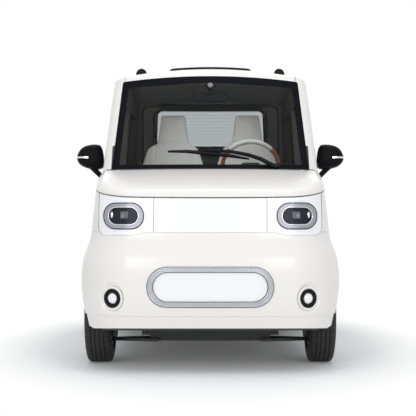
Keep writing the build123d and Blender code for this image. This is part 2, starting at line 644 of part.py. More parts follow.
pivot = Vector(*WIPER_PIVOT)
arm_end = Vector(*WIPER_ARM_END)
blade = [Vector(*point) for point in WIPER_BLADE]
wiper = rod(pivot - (0, 0, 26), pivot + (0, 0, 24), 11)
wiper += rod(pivot + (0, 0, 18), arm_end, WIPER_ARM_RADIUS)
for start, end in zip(blade, blade[1:]):
    wiper += rod(start, end, WIPER_BLADE_RADIUS)
wiper -= outer

# Black undertray between the bumper's foot and the crossmember
undertray = tub(TRAY_INSET, TRAY_INSET, 0, 0) & block(-560, 560, -1500, -1205, 205, 260)
undertray &= side_prism(rounded(UNDERTRAY_SIDE), -FAR_SIDE, FAR_SIDE)

# Floor, wheel houses and bulkheads: one pressed and welded tray
floor_pan = block(-700, 700, FLOOR_FRONT_Y, FLOOR_KICK_Y, FLOOR_Z - 14, FLOOR_Z)
floor_pan += block(-700, 700, FLOOR_FRONT_Y - 12, FLOOR_FRONT_Y, FLOOR_Z - 14, 800)
floor_pan += block(-700, 700, FLOOR_KICK_Y, FLOOR_KICK_Y + 12, FLOOR_Z - 14, REAR_FLOOR_Z)
floor_pan += block(-700, 700, FLOOR_KICK_Y, 1400, REAR_FLOOR_Z - 12, REAR_FLOOR_Z)
floor_pan += block(-700, 700, -1340, FLOOR_FRONT_Y, TRAY_Z - 12, TRAY_Z)
floor_pan += block(-700, 700, DASH_FRONT_Y - 12, DASH_FRONT_Y, TRAY_Z - 12, 1030)
for wheel_y, radius, inner_x in (
    (FRONT_AXLE_Y, FRONT_ARCH_RADIUS, FRONT_ARCH_INNER_X),
    (REAR_AXLE_Y, REAR_ARCH_RADIUS, REAR_ARCH_INNER_X),
):
    wheel_room = cross_rod(inner_x, FAR_SIDE, wheel_y, TYRE_RADIUS, radius)
    house = cross_rod(inner_x - LINER, 700, wheel_y, TYRE_RADIUS, radius + LINER)
    house -= block(0, 800, wheel_y - 400, wheel_y + 400, -100, FLOOR_Z - 14)
    floor_pan = floor_pan - both(wheel_room)
    floor_pan += both(house - wheel_room)
kp_low, kp_high = Vector(*KINGPIN[0]), Vector(*KINGPIN[1])
kp_dir = (kp_high - kp_low).normalized()


def kingpin(z):
    """Point of the left wheel's steering axis at height z."""
    return kp_low + (kp_high - kp_low) * ((z - kp_low.Z) / (kp_high.Z - kp_low.Z))


def kp_rod(z0, z1, radius):
    return rod(kingpin(z0), kingpin(z1), radius)


floor_pan += both(kp_rod(550, 762, TOWER_BORE + 6)) & block(-700, 700, -1200, -600, TRAY_Z - 12, 800)
floor_pan -= both(kp_rod(500, 752, TOWER_BORE))
floor_pan -= both(kp_rod(740, 790, STRUT_ROD + 0.5))
floor_pan -= both(cross_rod(400, 560, REAR_AXLE_Y, TYRE_RADIUS, 70))
box_x, box_y = SEAT_BOX_HALF
seat_box = block(SEAT_X - box_x, SEAT_X + box_x, -box_y, box_y, FLOOR_Z - 2, SEAT_BOX_Z)
seat_box -= block(
    SEAT_X - box_x + SHEET, SEAT_X + box_x - SHEET, SHEET - box_y, box_y - SHEET, FLOOR_Z - 20, SEAT_BOX_Z - SHEET
)
floor_pan += both(seat_box)
floor_pan = floor_pan & inner

battery_half, battery_front, battery_rear, battery_z, battery_corner = BATTERY
battery_pack = block(-battery_half, battery_half, battery_front, battery_rear, battery_z, FLOOR_Z - 14)
battery_pack = fillet(battery_pack.edges().filter_by(Axis.Z), battery_corner)

# Cabin
dashboard = side_prism(rounded(DASHBOARD), -700, 700) & inner
dashboard += side_prism(rounded(BINNACLE, BINNACLE_CORNER), SEAT_X - BINNACLE_HALF, SEAT_X + BINNACLE_HALF)
column_dir = Vector(0, math.cos(math.radians(COLUMN_TILT)), math.sin(math.radians(COLUMN_TILT)))
wheel_at = Vector(*STEERING_CENTRE)
steering_column = rod(wheel_at - column_dir * 300, wheel_at - column_dir * 55, COLUMN_RADIUS)
steering_column = steering_column + rod(wheel_at - column_dir * 60, wheel_at + column_dir * 2, COLUMN_SHAFT)
steering_column = steering_column - dashboard
hub_plane = Plane(origin=wheel_at, x_dir=(1, 0, 0), z_dir=column_dir)
steering_wheel = hub_plane * Torus(STEERING_RADIUS - STEERING_GRIP, STEERING_GRIP)
steering_wheel += hub_plane * (Pos(0, 0, -6) * Cylinder(*STEERING_HUB))
for turn in SPOKE_TURNS:
    steering_wheel += hub_plane * (Rot(0, 0, turn) * Pos(100, 0, -4) * Box(*SPOKE))
steering_wheel -= rod(wheel_at - column_dir * 60, wheel_at + column_dir * 4, COLUMN_SHAFT + BEARING_FIT)

cushion_half, cushion_front, cushion_rear, cushion_top, cushion_round = CUSHION
seat_cushion = slab(
    SEAT_X - cushion_half, SEAT_X + cushion_half, cushion_front, cushion_rear, SEAT_BOX_Z, cushion_top, cushion_round
)
back_front = rounded(SEAT_OUTLINE + [(-x, z) for x, z in reversed(SEAT_OUTLINE)], SEAT_CORNER)
back_side = rounded(SEAT_SIDE, SEAT_SIDE_CORNER)
seat_back = side_prism(back_side, SEAT_X - 220, SEAT_X + 220)
seat_back = seat_back & front_prism(Pos(SEAT_X, 0) * back_front, 100, 500)
seat_back = seat_back - seat_cushion
bench_front, bench_rear, bench_top, bench_round = BENCH_CUSHION
bench_cushion = slab(-BENCH_HALF, BENCH_HALF, bench_front, bench_rear, REAR_FLOOR_Z, bench_top, bench_round)
bench_back = side_prism(rounded(BENCH_BACK, BENCH_CORNER), -BENCH_HALF, BENCH_HALF) & inner
rear_view_mirror = slab(-CABIN_MIRROR[0], *CABIN_MIRROR) + rod(*CABIN_MIRROR_STEM, 8)
rear_view_mirror = rear_view_mirror & cabin_inside_glass

# Running gear
front_suspension = block(-330, 330, -930, -850, 118, 178)
front_suspension += both(block(320, FRONT_ARCH_INNER_X - LINER, -930, -850, 150, 420))
arm = plan_prism(rounded(LOWER_ARM), *LOWER_ARM_Z)
front_suspension += both(arm) + both(kp_rod(120, 180, LOWER_PIN_RADIUS))
front_suspension += both(block(170, 200, -860, -755, 140, 242))
housing_half, housing_radius = RACK_HOUSING
front_suspension += cross_rod(-housing_half, housing_half, RACK_Y, RACK_Z, housing_radius)
front_suspension -= cross_rod(-300, 300, RACK_Y, RACK_Z, RACK_ROD + BEARING_FIT)
steering_rack = cross_rod(-495, 495, RACK_Y, RACK_Z, RACK_ROD)
end_start, end_stop, end_radius = ROD_END
steering_rack += both(cross_rod(end_start, end_stop, RACK_Y, RACK_Z, end_radius))

# Knuckle: lower eye, upright, stub axle and steering arm, then the strut with its coil spring
knuckle = kp_rod(140, 215, 19) + block(498, 530, -918, -862, 192, 335)
knuckle += cross_rod(500, 560, FRONT_AXLE_Y, TYRE_RADIUS, 24)
knuckle += cross_rod(500, 620, FRONT_AXLE_Y, TYRE_RADIUS, AXLE_STUB_RADIUS)
knuckle += block(*STEER_ARM)
knuckle += kp_rod(290, 345, 27) + kp_rod(330, 536, 23) + kp_rod(526, 536, 54)
knuckle = knuckle + kp_rod(530, 775, STRUT_ROD) + kp_rod(712, 720, 52)
spring_plane = Plane(origin=kingpin(SPRING_FOOT_Z), z_dir=kp_dir)
helix = spring_plane * Helix(pitch=SPRING_PITCH, height=SPRING_HEIGHT, radius=SPRING_RADIUS)
spring = sweep(Plane(origin=helix @ 0, z_dir=helix % 0) * Circle(SPRING_WIRE), path=helix)
knuckle += spring & kp_rod(531, 716, 60)
knuckle -= kp_rod(135, 186, LOWER_PIN_RADIUS + BEARING_FIT)

rear_axle = cross_rod(-556, 556, REAR_AXLE_Y, TYRE_RADIUS, REAR_AXLE_RADIUS)
rear_axle += cross_rod(-620, 620, REAR_AXLE_Y, TYRE_RADIUS, AXLE_STUB_RADIUS)
spring_x, spring_radius = REAR_SPRING
spring_top = (spring_x, REAR_AXLE_Y, REAR_FLOOR_Z - SHEET)
rear_axle += both(rod((spring_x, REAR_AXLE_Y, TYRE_RADIUS), spring_top, spring_radius))
drive_motor = block(-MOTOR[0], *MOTOR) - rear_axle

# Wheels
half = RIM_WIDTH / 2
seat_half = half - RIM_FLANGE_WIDTH
barrel = rounded([
    (RIM_RADIUS - RIM_WALL, -half),
    (RIM_RADIUS + RIM_FLANGE, -half),
    (RIM_RADIUS + RIM_FLANGE, -seat_half),
    (RIM_RADIUS, -seat_half),
    (RIM_RADIUS, seat_half),
    (RIM_RADIUS + RIM_FLANGE, seat_half),
    (RIM_RADIUS + RIM_FLANGE, half),
    (RIM_RADIUS - RIM_FLANGE, half),
    (RIM_RADIUS - RIM_WALL, 20),
])
disc_edge = RIM_RADIUS - 5
disc = rounded([(0, 24), (44, 24), (70, 30), (disc_edge, 22), (disc_edge, 32), (70, 40), (44, 34), (0, 34)])
hub = rounded([(0, -40), (36, -40), (36, 42), (0, 42)])
rim_section = Plane.XZ * (barrel + disc + hub)
rim = revolve(rim_section, Axis.Z)
rim -= Pos(0, 0, -20) * Cylinder(AXLE_STUB_RADIUS + BEARING_FIT, 80)
for i in range(RIM_SLOTS):
    rim -= Rot(0, 0, 360 * i / RIM_SLOTS) * Pos(SLOT_CIRCLE, 0, 30) * Cylinder(SLOT_RADIUS, 40)
tyre_half = TYRE_WIDTH / 2
tyre_side = [
    (RIM_RADIUS, seat_half),
    (RIM_RADIUS + 42, tyre_half),
    (TYRE_RADIUS - 20, tyre_half - 4),
    (TYRE_RADIUS, tyre_half - 22),
]
tyre_face = make_face(Polyline(*tyre_side, *[(r, -x) for r, x in reversed(tyre_side)], close=True))
tyre = revolve(Plane.XZ * tyre_face, Axis.Z) - rim
for name, y in (("front", FRONT_AXLE_Y), ("rear", REAR_AXLE_Y)):
    spot = Plane(origin=(WHEEL_X, y, TYRE_RADIUS), x_dir=(0, 1, 0), z_dir=(1, 0, 0))
    for node, shape in (("rim", rim), ("tyre", tyre)):
        placed = spot.location * shape
        save(f"{node}_{name}_left", placed)
        save(f"{node}_{name}_right", mirrored(placed))

# Files
for name, shape in (
    ("front_bumper", front_bumper),
    ("nose_band", nose_band),
    ("cowl", cowl),
    ("roof_panel", roof_panel),
    ("rear_bumper", rear_bumper),
    ("hood", hood),
    ("tailgate", tailgate),
    ("tailgate_glass", tailgate_glass),
    ("windshield", windshield),
    ("grille_ring", grille_ring),
    ("sunroof", sunroof),
    ("wiper", wiper),
    ("floor_pan", floor_pan),
    ("battery_pack", battery_pack),
    ("dashboard", dashboard),
    ("steering_column", steering_column),
    ("steering_wheel", steering_wheel),
    ("rear_bench_cushion", bench_cushion),
    ("rear_bench_back", bench_back),
    ("rear_view_mirror", rear_view_mirror),
    ("front_suspension", front_suspension),
    ("steering_rack", steering_rack),
    ("rear_axle", rear_axle),
    ("drive_motor", drive_motor),
    ("undertray", undertray),
):
    save(name, shape)
for name, shape in (
    ("fender", fender),
    ("side_frame", side_frame),
    ("door", door),
    ("door_glass", door_glass),
    ("quarter_glass", quarter_glass),
    ("door_mirror", door_mirror),
    ("headlamp", head_lamp),
    ("tail_lamp", tail_lamp),
    ("fog_lamp", fog_lamp),
    ("roof_rail", roof_rail),
    ("seat_cushion", seat_cushion),
    ("seat_back", seat_back),
    ("knuckle", knuckle),
):
    save(f"{name}_left", shape)
    save(f"{name}_right", mirrored(shape))
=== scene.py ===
# %% [markdown]
# # A small two-door electric car
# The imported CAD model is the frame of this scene: every body panel, pane, seat and wheel already has its
# place, in metres, with the nose towards -Y. This lesson gives each of them its finish, and then adds
# what a CAD model leaves out: printed glass edges, lamp insides, tread, stuffed seats and the small trim.

# %% Load the car
import json
import math

import bmesh
import bpy
from mathutils import Matrix, Vector


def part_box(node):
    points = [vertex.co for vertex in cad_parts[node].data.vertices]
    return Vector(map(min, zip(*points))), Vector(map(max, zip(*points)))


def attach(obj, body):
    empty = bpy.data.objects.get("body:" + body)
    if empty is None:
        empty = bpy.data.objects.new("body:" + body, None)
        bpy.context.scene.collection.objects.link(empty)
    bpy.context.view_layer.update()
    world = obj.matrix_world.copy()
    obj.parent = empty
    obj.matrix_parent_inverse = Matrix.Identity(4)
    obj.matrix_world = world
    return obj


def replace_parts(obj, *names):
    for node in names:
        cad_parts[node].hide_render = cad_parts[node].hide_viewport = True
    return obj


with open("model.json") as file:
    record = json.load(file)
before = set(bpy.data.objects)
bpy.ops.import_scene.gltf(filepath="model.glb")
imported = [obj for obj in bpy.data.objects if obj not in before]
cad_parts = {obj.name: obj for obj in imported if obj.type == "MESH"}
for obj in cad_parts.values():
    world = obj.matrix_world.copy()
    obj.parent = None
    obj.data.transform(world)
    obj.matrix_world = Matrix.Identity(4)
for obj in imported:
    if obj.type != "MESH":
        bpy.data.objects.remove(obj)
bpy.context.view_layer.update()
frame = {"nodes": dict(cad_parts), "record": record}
nodes = frame["nodes"]
scene = bpy.context.scene

# %% Places that more than one step uses, in metres
SEAT_X = 0.243
RING_Z = 0.442
LAMP_X, LAMP_Z = 0.450, 0.805
LENS_HALF_X, LENS_HALF_Z = 0.077, 0.043
FOG_X, FOG_Z = 0.503, 0.382
MIRROR_X = Matrix.Scale(-1, 4, (1, 0, 0))
BACKWARDS = (0, 1, 0)
FORWARDS = (0, -1, 0)
AHEAD = -3
COLUMN_LEAN = math.radians(-60)

# %% [markdown]
# ## Finishes
# Each finish is a Principled shader with some unevenness of its own: paint has a faint orange peel,
# moulded plastic a fine grain, leather its creases. One table names them all. Colours are linear, and
# grain is the number of noise cells in a metre.

# %% Table of finishes: colour, roughness and what sets each apart
LOOKS = {
    "body_paint": dict(
        colour=(0.84, 0.815, 0.78), roughness=0.34, grain=900, depth=0.01, shade=0.985, coat=0.3,
    ),
    "band_paint": dict(
        colour=(0.90, 0.91, 0.92), roughness=0.3, grain=900, depth=0.01, shade=0.985, coat=0.3,
    ),
    "gloss_black": dict(colour=(0.009, 0.009, 0.011), roughness=0.2, ior=1.2, grain=700, depth=0.01),
    "dark_plastic": dict(colour=(0.035, 0.036, 0.038), roughness=0.55, grain=2200, depth=0.15),
    "cabin_lining": dict(
        colour=(0.160, 0.156, 0.148), roughness=0.85, ior=1.2, grain=1800, depth=0.1, shade=0.9,
    ),
    "glass_print": dict(colour=(0.008, 0.009, 0.012), roughness=0.25, ior=1.08, grain=500, depth=0.005),
    "satin_silver": dict(colour=(0.50, 0.52, 0.56), roughness=0.24, metallic=0.9, grain=1500),
    "chrome": dict(colour=(0.78, 0.79, 0.81), roughness=0.08, metallic=1.0, grain=900, depth=0.01),
    "lamp_grey": dict(colour=(0.34, 0.35, 0.39), roughness=0.35, metallic=0.4, grain=900, depth=0.01),
    "lamp_dark": dict(colour=(0.018, 0.022, 0.030), roughness=0.25, ior=1.25, grain=900, depth=0.01),
    "projector_glass": dict(colour=(0.13, 0.135, 0.15), roughness=0.3, metallic=0.3, grain=900, depth=0.01),
    "lamp_white": dict(colour=(0.9, 0.9, 0.9), roughness=0.12, grain=600, depth=0.05, coat=1.0),
    "red_lamp": dict(colour=(0.30, 0.006, 0.008), roughness=0.15, ior=1.25, grain=300, depth=0.01, coat=0.2),
    "mirror_black": dict(colour=(0.010, 0.010, 0.012), roughness=0.3, ior=1.1, grain=700, depth=0.01),
    "underbody_paint": dict(colour=(0.06, 0.06, 0.064), roughness=0.6, grain=500, depth=0.2),
    "battery_case": dict(colour=(0.05, 0.05, 0.055), roughness=0.6, grain=900, depth=0.15),
    "motor_case": dict(colour=(0.45, 0.46, 0.47), roughness=0.45, metallic=0.9, grain=900, depth=0.25),
    "chassis_black": dict(colour=(0.02, 0.02, 0.022), roughness=0.4, grain=600, depth=0.1),
    "cast_steel": dict(colour=(0.11, 0.11, 0.115), roughness=0.55, metallic=0.6, grain=900, depth=0.3),
    "bright_steel": dict(colour=(0.6, 0.6, 0.61), roughness=0.28, metallic=1.0, grain=1500),
    "wheel_silver": dict(colour=(0.55, 0.56, 0.58), roughness=0.32, metallic=0.8, grain=1200),
    "tyre": dict(colour=(0.020, 0.020, 0.021), roughness=0.72, grain=1100, depth=0.2),
    "soft_rubber": dict(colour=(0.012, 0.012, 0.013), roughness=0.6, ior=1.2, grain=1400, depth=0.1),
    "seat_leather": dict(colour=(0.70, 0.685, 0.66), roughness=0.52, grain=650, depth=0.35, shade=0.92),
    "wheel_leather": dict(colour=(0.86, 0.84, 0.81), roughness=0.42, grain=900, depth=0.2),
    "tan_leather": dict(colour=(0.50, 0.175, 0.080), roughness=0.45, grain=800, depth=0.3, shade=0.8),
}
print("looks", len(LOOKS))


# %% Helpers that write shaders
def add_look(
    tree, colour, roughness, metallic=0.0, ior=1.5, grain=400.0, depth=0.02, spread=0.03, shade=0.94, coat=0.0
):
    """A Principled shader whose colour, roughness and bump vary slightly with a noise of that grain."""
    shader = tree.nodes.new("ShaderNodeBsdfPrincipled")
    shader.inputs["Metallic"].default_value = metallic
    shader.inputs["IOR"].default_value = ior
    shader.inputs["Coat Weight"].default_value = coat
    shader.inputs["Coat Roughness"].default_value = 0.04
    place = tree.nodes.new("ShaderNodeTexCoord")
    noise = tree.nodes.new("ShaderNodeTexNoise")
    noise.inputs["Scale"].default_value = grain
    noise.inputs["Detail"].default_value = 3
    tree.links.new(place.outputs["Object"], noise.inputs["Vector"])
    rough = tree.nodes.new("ShaderNodeMapRange")
    rough.inputs["To Min"].default_value = max(roughness - spread, 0.01)
    rough.inputs["To Max"].default_value = roughness + spread
    tree.links.new(noise.outputs["Fac"], rough.inputs["Value"])
    tree.links.new(rough.outputs["Result"], shader.inputs["Roughness"])
    tone = tree.nodes.new("ShaderNodeMix")
    tone.data_type = "RGBA"
    tone.inputs["A"].default_value = (*[c * shade for c in colour], 1)
    tone.inputs["B"].default_value = (*colour, 1)
    tree.links.new(noise.outputs["Fac"], tone.inputs["Factor"])
    tree.links.new(tone.outputs["Result"], shader.inputs["Base Color"])
    bump = tree.nodes.new("ShaderNodeBump")
    bump.inputs["Strength"].default_value = depth
    bump.inputs["Distance"].default_value = 0.001
    tree.links.new(noise.outputs["Fac"], bump.inputs["Height"])
    tree.links.new(bump.outputs["Normal"], shader.inputs["Normal"])
    return shader


def empty_finish(name):
    finish = bpy.data.materials.new(name)
    finish.use_nodes = True
    finish.node_tree.nodes.clear()
    return finish, finish.node_tree, finish.node_tree.nodes.new("ShaderNodeOutputMaterial")


def look_shader(tree, look):
    return add_look(tree, **LOOKS[look]).outputs["BSDF"]


def plain_finish(look):
    finish, tree, out = empty_finish(look)
    tree.links.new(look_shader(tree, look), out.inputs["Surface"])
    return finish


def number(tree, operation, *values):
    """One step of arithmetic in a shader."""
    step = tree.nodes.new("ShaderNodeMath")
    step.operation = operation
    for socket, value in zip(step.inputs, values):
        if isinstance(value, (int, float)):
            socket.default_value = value
        else:
            tree.links.new(value, socket)
    return step.outputs[0]


def away_from(tree, socket, middle):
    """Distance of a coordinate from a value, on either side."""
    return number(tree, "ABSOLUTE", number(tree, "SUBTRACT", socket, middle))


def reach_of(tree, u, v):
    """Length of the way that goes u across and v up."""
    squares = number(tree, "ADD", number(tree, "MULTIPLY", u, u), number(tree, "MULTIPLY", v, v))
    return number(tree, "SQRT", squares)


def slot_reach(tree, across, up, straight):
    """Distance from the middle line of a slot with round ends, straight for that far each way."""
    past = number(tree, "SUBTRACT", number(tree, "ABSOLUTE", across), straight)
    return reach_of(tree, number(tree, "MAXIMUM", past, 0), up)


def opposite(tree, socket):
    return number(tree, "MULTIPLY", socket, -1)


def blend(tree, amount, first, second):
    """Shader first, turning into shader second as the amount goes from 0 to 1."""
    mix = tree.nodes.new("ShaderNodeMixShader")
    tree.links.new(amount, mix.inputs["Fac"])
    tree.links.new(first, mix.inputs[1])
    tree.links.new(second, mix.inputs[2])
    return mix.outputs["Shader"]


def place_and_facing(tree):
    """Sockets x, y, z of a point on the piece and of the way its surface faces."""
    place = tree.nodes.new("ShaderNodeTexCoord")
    facing = tree.nodes.new("ShaderNodeNewGeometry")
    sockets = []
    for vector in (place.outputs["Object"], facing.outputs["True Normal"]):
        split = tree.nodes.new("ShaderNodeSeparateXYZ")
        tree.links.new(vector, split.inputs["Vector"])
        sockets += list(split.outputs)
    return sockets


def mixed_finish(name, base, other, mask):
    """Finish base, with finish other where mask(tree) gives one."""
    finish, tree, out = empty_finish(name)
    surface = blend(tree, mask(tree), look_shader(tree, base), look_shader(tree, other))
    tree.links.new(surface, out.inputs["Surface"])
    return finish


# %% [markdown]
# ## Lined panels
# Doors, side frames, roof and tailgate are painted outside and covered inside, by a headliner or a door
# panel. The two finishes meet at the panel's edge, so the way a face looks decides which one it gets:
# what faces away from the car is paint, and everything else is lining. On a door's edges the lining's dark
# grey is a painted shade in the gaps round the door. The rear quarter turns round to the back and the
# pillar turns round to the windshield, so their ends also count as outside.

# %% Which faces of a panel are lining
QUARTER_REAR_Y = 1.12
PILLAR_Y = -0.5
ROOF_RAIL_Z = 1.53
SILL_Z = 0.24
OUTWARD = 0.3
RING_STRAIGHT = 0.2185
RING_INNER_HALF = 0.078
NOSE_Y = -1.3
BAND_SEAM_X = 0.292


def side_lining(tree):
    x, y, z, nx, ny, nz = place_and_facing(tree)
    side = number(tree, "MULTIPLY", number(tree, "SIGN", x), nx)
    rear = number(tree, "MULTIPLY", ny, number(tree, "GREATER_THAN", y, QUARTER_REAR_Y))
    front = number(tree, "MULTIPLY", opposite(tree, ny), number(tree, "LESS_THAN", y, PILLAR_Y))
    above = number(tree, "MULTIPLY", nz, number(tree, "GREATER_THAN", z, ROOF_RAIL_Z))
    below = number(tree, "MULTIPLY", opposite(tree, nz), number(tree, "LESS_THAN", z, SILL_Z))
    outward = number(tree, "MAXIMUM", side, number(tree, "MAXIMUM", rear, front))
    outward = number(tree, "MAXIMUM", outward, number(tree, "MAXIMUM", above, below))
    return number(tree, "LESS_THAN", outward, OUTWARD)


# Lining inside, and on the door's edges, where its dark grey is a painted shade in the gaps round the door.
def door_lining_and_gap_shade(tree):
    x, y, z, nx, ny, nz = place_and_facing(tree)
    return number(tree, "LESS_THAN", number(tree, "MULTIPLY", number(tree, "SIGN", x), nx), OUTWARD)


def roof_lining(tree):
    """Underside, and the edge that looks forwards over the tailgate."""
    x, y, z, nx, ny, nz = place_and_facing(tree)
    forwards = number(tree, "LESS_THAN", ny, -OUTWARD)
    inner_edge = number(tree, "MULTIPLY", forwards, number(tree, "GREATER_THAN", y, 0))
    return number(tree, "MAXIMUM", number(tree, "LESS_THAN", nz, -0.2), inner_edge)


def tail_lining(tree):
    x, y, z, nx, ny, nz = place_and_facing(tree)
    return number(tree, "LESS_THAN", ny, 0.2)


def ring_panel(tree):
    """Inside of the oval ring in the nose."""
    x, y, z = place_and_facing(tree)[:3]
    reach = slot_reach(tree, x, number(tree, "SUBTRACT", z, RING_Z), RING_STRAIGHT)
    near = number(tree, "LESS_THAN", reach, RING_INNER_HALF)
    return number(tree, "MULTIPLY", near, number(tree, "LESS_THAN", y, NOSE_Y))


def band_seam_shade(tree):
    """Painted shade: a thin dark line down the bottom of the two upright seams in the band, where the
    groove's shade falls.
    """
    x = place_and_facing(tree)[0]
    return number(tree, "LESS_THAN", away_from(tree, number(tree, "ABSOLUTE", x), BAND_SEAM_X), 0.0018)


lined = {}
for look_name, mask in (
    ("side", side_lining), ("door", door_lining_and_gap_shade), ("roof", roof_lining), ("tail", tail_lining),
):
    lined[look_name] = mixed_finish(f"lined_{look_name}", "body_paint", "cabin_lining", mask)
nose_finish = mixed_finish("nose_with_panel", "body_paint", "band_paint", ring_panel)
# The band's seams get a painted shade line in the grey of the lamp bodies.
band_finish = mixed_finish("band_with_painted_seam_shade", "band_paint", "lamp_grey", band_seam_shade)
print("lined finishes", len(lined))

# %% [markdown]
# ## Glass
# Window glass here is a thin pane: light goes straight through, slightly greyed, and the surface adds a
# mirror layer that grows towards the edge of sight. Real panes carry a black ceramic print along their
# edge, which hides the glue. The print is a mask: the greatest of the distances past each side of the
# pane's outline, moved in by the print's width, so its inner corners come out round when the maximum is a
# smooth one.


# %% Panes with a printed edge
def outline_distance(tree, across, up, corners, soften=0.018):
    """How far a point lies outside a convex outline, anticlockwise, edges on the middle line left out."""
    distance = None
    for (u0, v0), (u1, v1) in zip(corners, corners[1:] + corners[:1]):
        length = math.hypot(u1 - u0, v1 - v0)
        nu, nv = (v1 - v0) / length, (u0 - u1) / length
        if abs(u0) < 1e-6 and abs(u1) < 1e-6:
            continue
        side = number(tree, "MULTIPLY_ADD", across, nu, -(nu * u0 + nv * v0))
        side = number(tree, "MULTIPLY_ADD", up, nv, side)
        distance = side if distance is None else number(tree, "SMOOTH_MAX", distance, side, soften)
    return distance


def new_pane(name, tint, corners=None, sideways=False, print_width=0.02, heater=0.0, mirror=0.8, ior=1.45):
    """Clear pane of that tint, printed black along the outline (|x|, z), or (y, z) for a side pane."""
    pane, tree, out = empty_finish(name)
    clear = tree.nodes.new("ShaderNodeBsdfTransparent")
    clear.inputs["Color"].default_value = (*tint, 1)
    shine = tree.nodes.new("ShaderNodeBsdfGlossy")
    shine.inputs["Roughness"].default_value = 0.02
    shine.inputs["Color"].default_value = (mirror, mirror, mirror, 1)
    edge = tree.nodes.new("ShaderNodeFresnel")
    edge.inputs["IOR"].default_value = ior
    surface = blend(tree, edge.outputs["Fac"], clear.outputs["BSDF"], shine.outputs["BSDF"])
    if corners:
        x, y, z = place_and_facing(tree)[:3]
        across = y if sideways else number(tree, "ABSOLUTE", x)
        mask = number(tree, "GREATER_THAN", outline_distance(tree, across, z, corners), -print_width)
        if heater:
            wave = number(tree, "FRACT", number(tree, "DIVIDE", z, heater))
            wire = number(tree, "LESS_THAN", wave, 0.1)
            mask = number(tree, "MAXIMUM", mask, number(tree, "MULTIPLY", wire, 0.22))
        surface = blend(tree, mask, surface, look_shader(tree, "glass_print"))
    tree.links.new(surface, out.inputs["Surface"])
    return pane


SCREEN = [(0, 1.050), (0.554, 1.050), (0.513, 1.586), (0, 1.614)]
TAIL_PANE = [(0, 1.290), (0.400, 1.290), (0.388, 1.560), (0, 1.560)]
DOOR_PANE = [(-0.505, 1.115), (0.325, 1.115), (0.325, 1.492), (-0.385, 1.492), (-0.505, 1.298)]
QUARTER_PANE = [(0.470, 1.125), (1.085, 1.125), (1.050, 1.482), (0.470, 1.482)]
screen_glass = new_pane("screen_glass", (0.96, 0.97, 0.97), SCREEN, print_width=0.038, mirror=0.07)
tail_glass = new_pane(
    "tail_glass", (0.71, 0.73, 0.74), TAIL_PANE, print_width=0.008, heater=0.0224, mirror=0.4,
)
door_glass = new_pane(
    "door_glass", (0.86, 0.88, 0.88), DOOR_PANE, sideways=True, print_width=0.018, mirror=0.25, ior=1.3,
)
quarter_glass = new_pane(
    "quarter_glass", (0.74, 0.76, 0.77), QUARTER_PANE, sideways=True, print_width=0.03, mirror=0.5, ior=1.2,
)
lamp_glass = new_pane("lamp_glass", (0.93, 0.95, 0.96), mirror=0.9)
print("panes", 5)

# %% [markdown]
# ## The headlamps' bezel
# The lamp body is one dark-chrome moulding with a recess for the lens. The recess is dark inside, which
# the same kind of mask gives: the lens outline in front view, 154 by 86 mm round the lamp's centre.

# %% Headlamp bezel, mirror shell and finishes by slot
def lens_recess(tree):
    x, y, z = place_and_facing(tree)[:3]
    away = number(tree, "SUBTRACT", number(tree, "ABSOLUTE", x), LAMP_X)
    up = number(tree, "SUBTRACT", z, LAMP_Z)
    reach = slot_reach(tree, away, up, LENS_HALF_X - LENS_HALF_Z)
    return number(tree, "LESS_THAN", reach, LENS_HALF_Z - 0.001)


def mirror_strip(tree):
    """Bright turn signal strip on the outer half of a door mirror's front."""
    x, y, z = place_and_facing(tree)[:3]
    level = number(tree, "LESS_THAN", away_from(tree, z, 1.143), 0.0048)
    outer = number(tree, "GREATER_THAN", number(tree, "ABSOLUTE", x), 0.716)
    front = number(tree, "LESS_THAN", y, -0.44)
    return number(tree, "MULTIPLY", level, number(tree, "MULTIPLY", outer, front))


def reversing_lamp(tree):
    """Clear part low in a tail lamp, between two ribs."""
    z = place_and_facing(tree)[2]
    return number(tree, "LESS_THAN", away_from(tree, z, 0.728), 0.017)


def fog_lens(tree):
    """White centre of the low round lamps, whose faces look 27 degrees outwards."""
    x, y, z = place_and_facing(tree)[:3]
    turn = math.radians(27)
    across = number(tree, "SUBTRACT", number(tree, "ABSOLUTE", x), FOG_X)
    across = number(tree, "MULTIPLY", across, math.cos(turn))
    across = number(tree, "MULTIPLY_ADD", number(tree, "ADD", y, 1.35), math.sin(turn), across)
    reach = reach_of(tree, across, number(tree, "SUBTRACT", z, FOG_Z))
    return number(tree, "LESS_THAN", reach, 0.0286)


plain_slots = (
    "body_paint", "band_paint", "red_lamp", "gloss_black", "dark_plastic", "satin_silver", "tyre",
    "underbody_paint", "battery_case", "motor_case", "chassis_black", "cast_steel", "bright_steel",
    "wheel_leather", "seat_leather", "wheel_silver",
)
finish_of_slot = {slot: plain_finish(slot) for slot in plain_slots}
finish_of_slot["window_glass"] = screen_glass
finish_of_slot["lamp_glass"] = lamp_glass
finish_of_node = {
    "front_bumper": nose_finish,
    "nose_band": band_finish,
    "roof_panel": lined["roof"],
    "tailgate": lined["tail"],
    "tailgate_glass": tail_glass,
}
mirror_finish = mixed_finish("mirror_shell", "mirror_black", "chrome", mirror_strip)
for pair, finish in (
    ("side_frame", lined["side"]),
    ("door", lined["door"]),
    ("door_glass", door_glass),
    ("quarter_glass", quarter_glass),
    ("headlamp", mixed_finish("headlamp_body", "lamp_grey", "lamp_dark", lens_recess)),
    ("door_mirror", mirror_finish),
    ("tail_lamp", mixed_finish("tail_lamp_body", "red_lamp", "lamp_white", reversing_lamp)),
    ("fog_lamp", mixed_finish("fog_lamp_body", "gloss_black", "lamp_white", fog_lens)),
):
    finish_of_node[f"{pair}_left"] = finish
    finish_of_node[f"{pair}_right"] = finish
for part in frame["record"]["subparts"]:
    piece = nodes[part["node"]]
    piece.data.materials.clear()
    piece.data.materials.append(finish_of_node.get(part["node"], finish_of_slot[part["material_slot"]]))
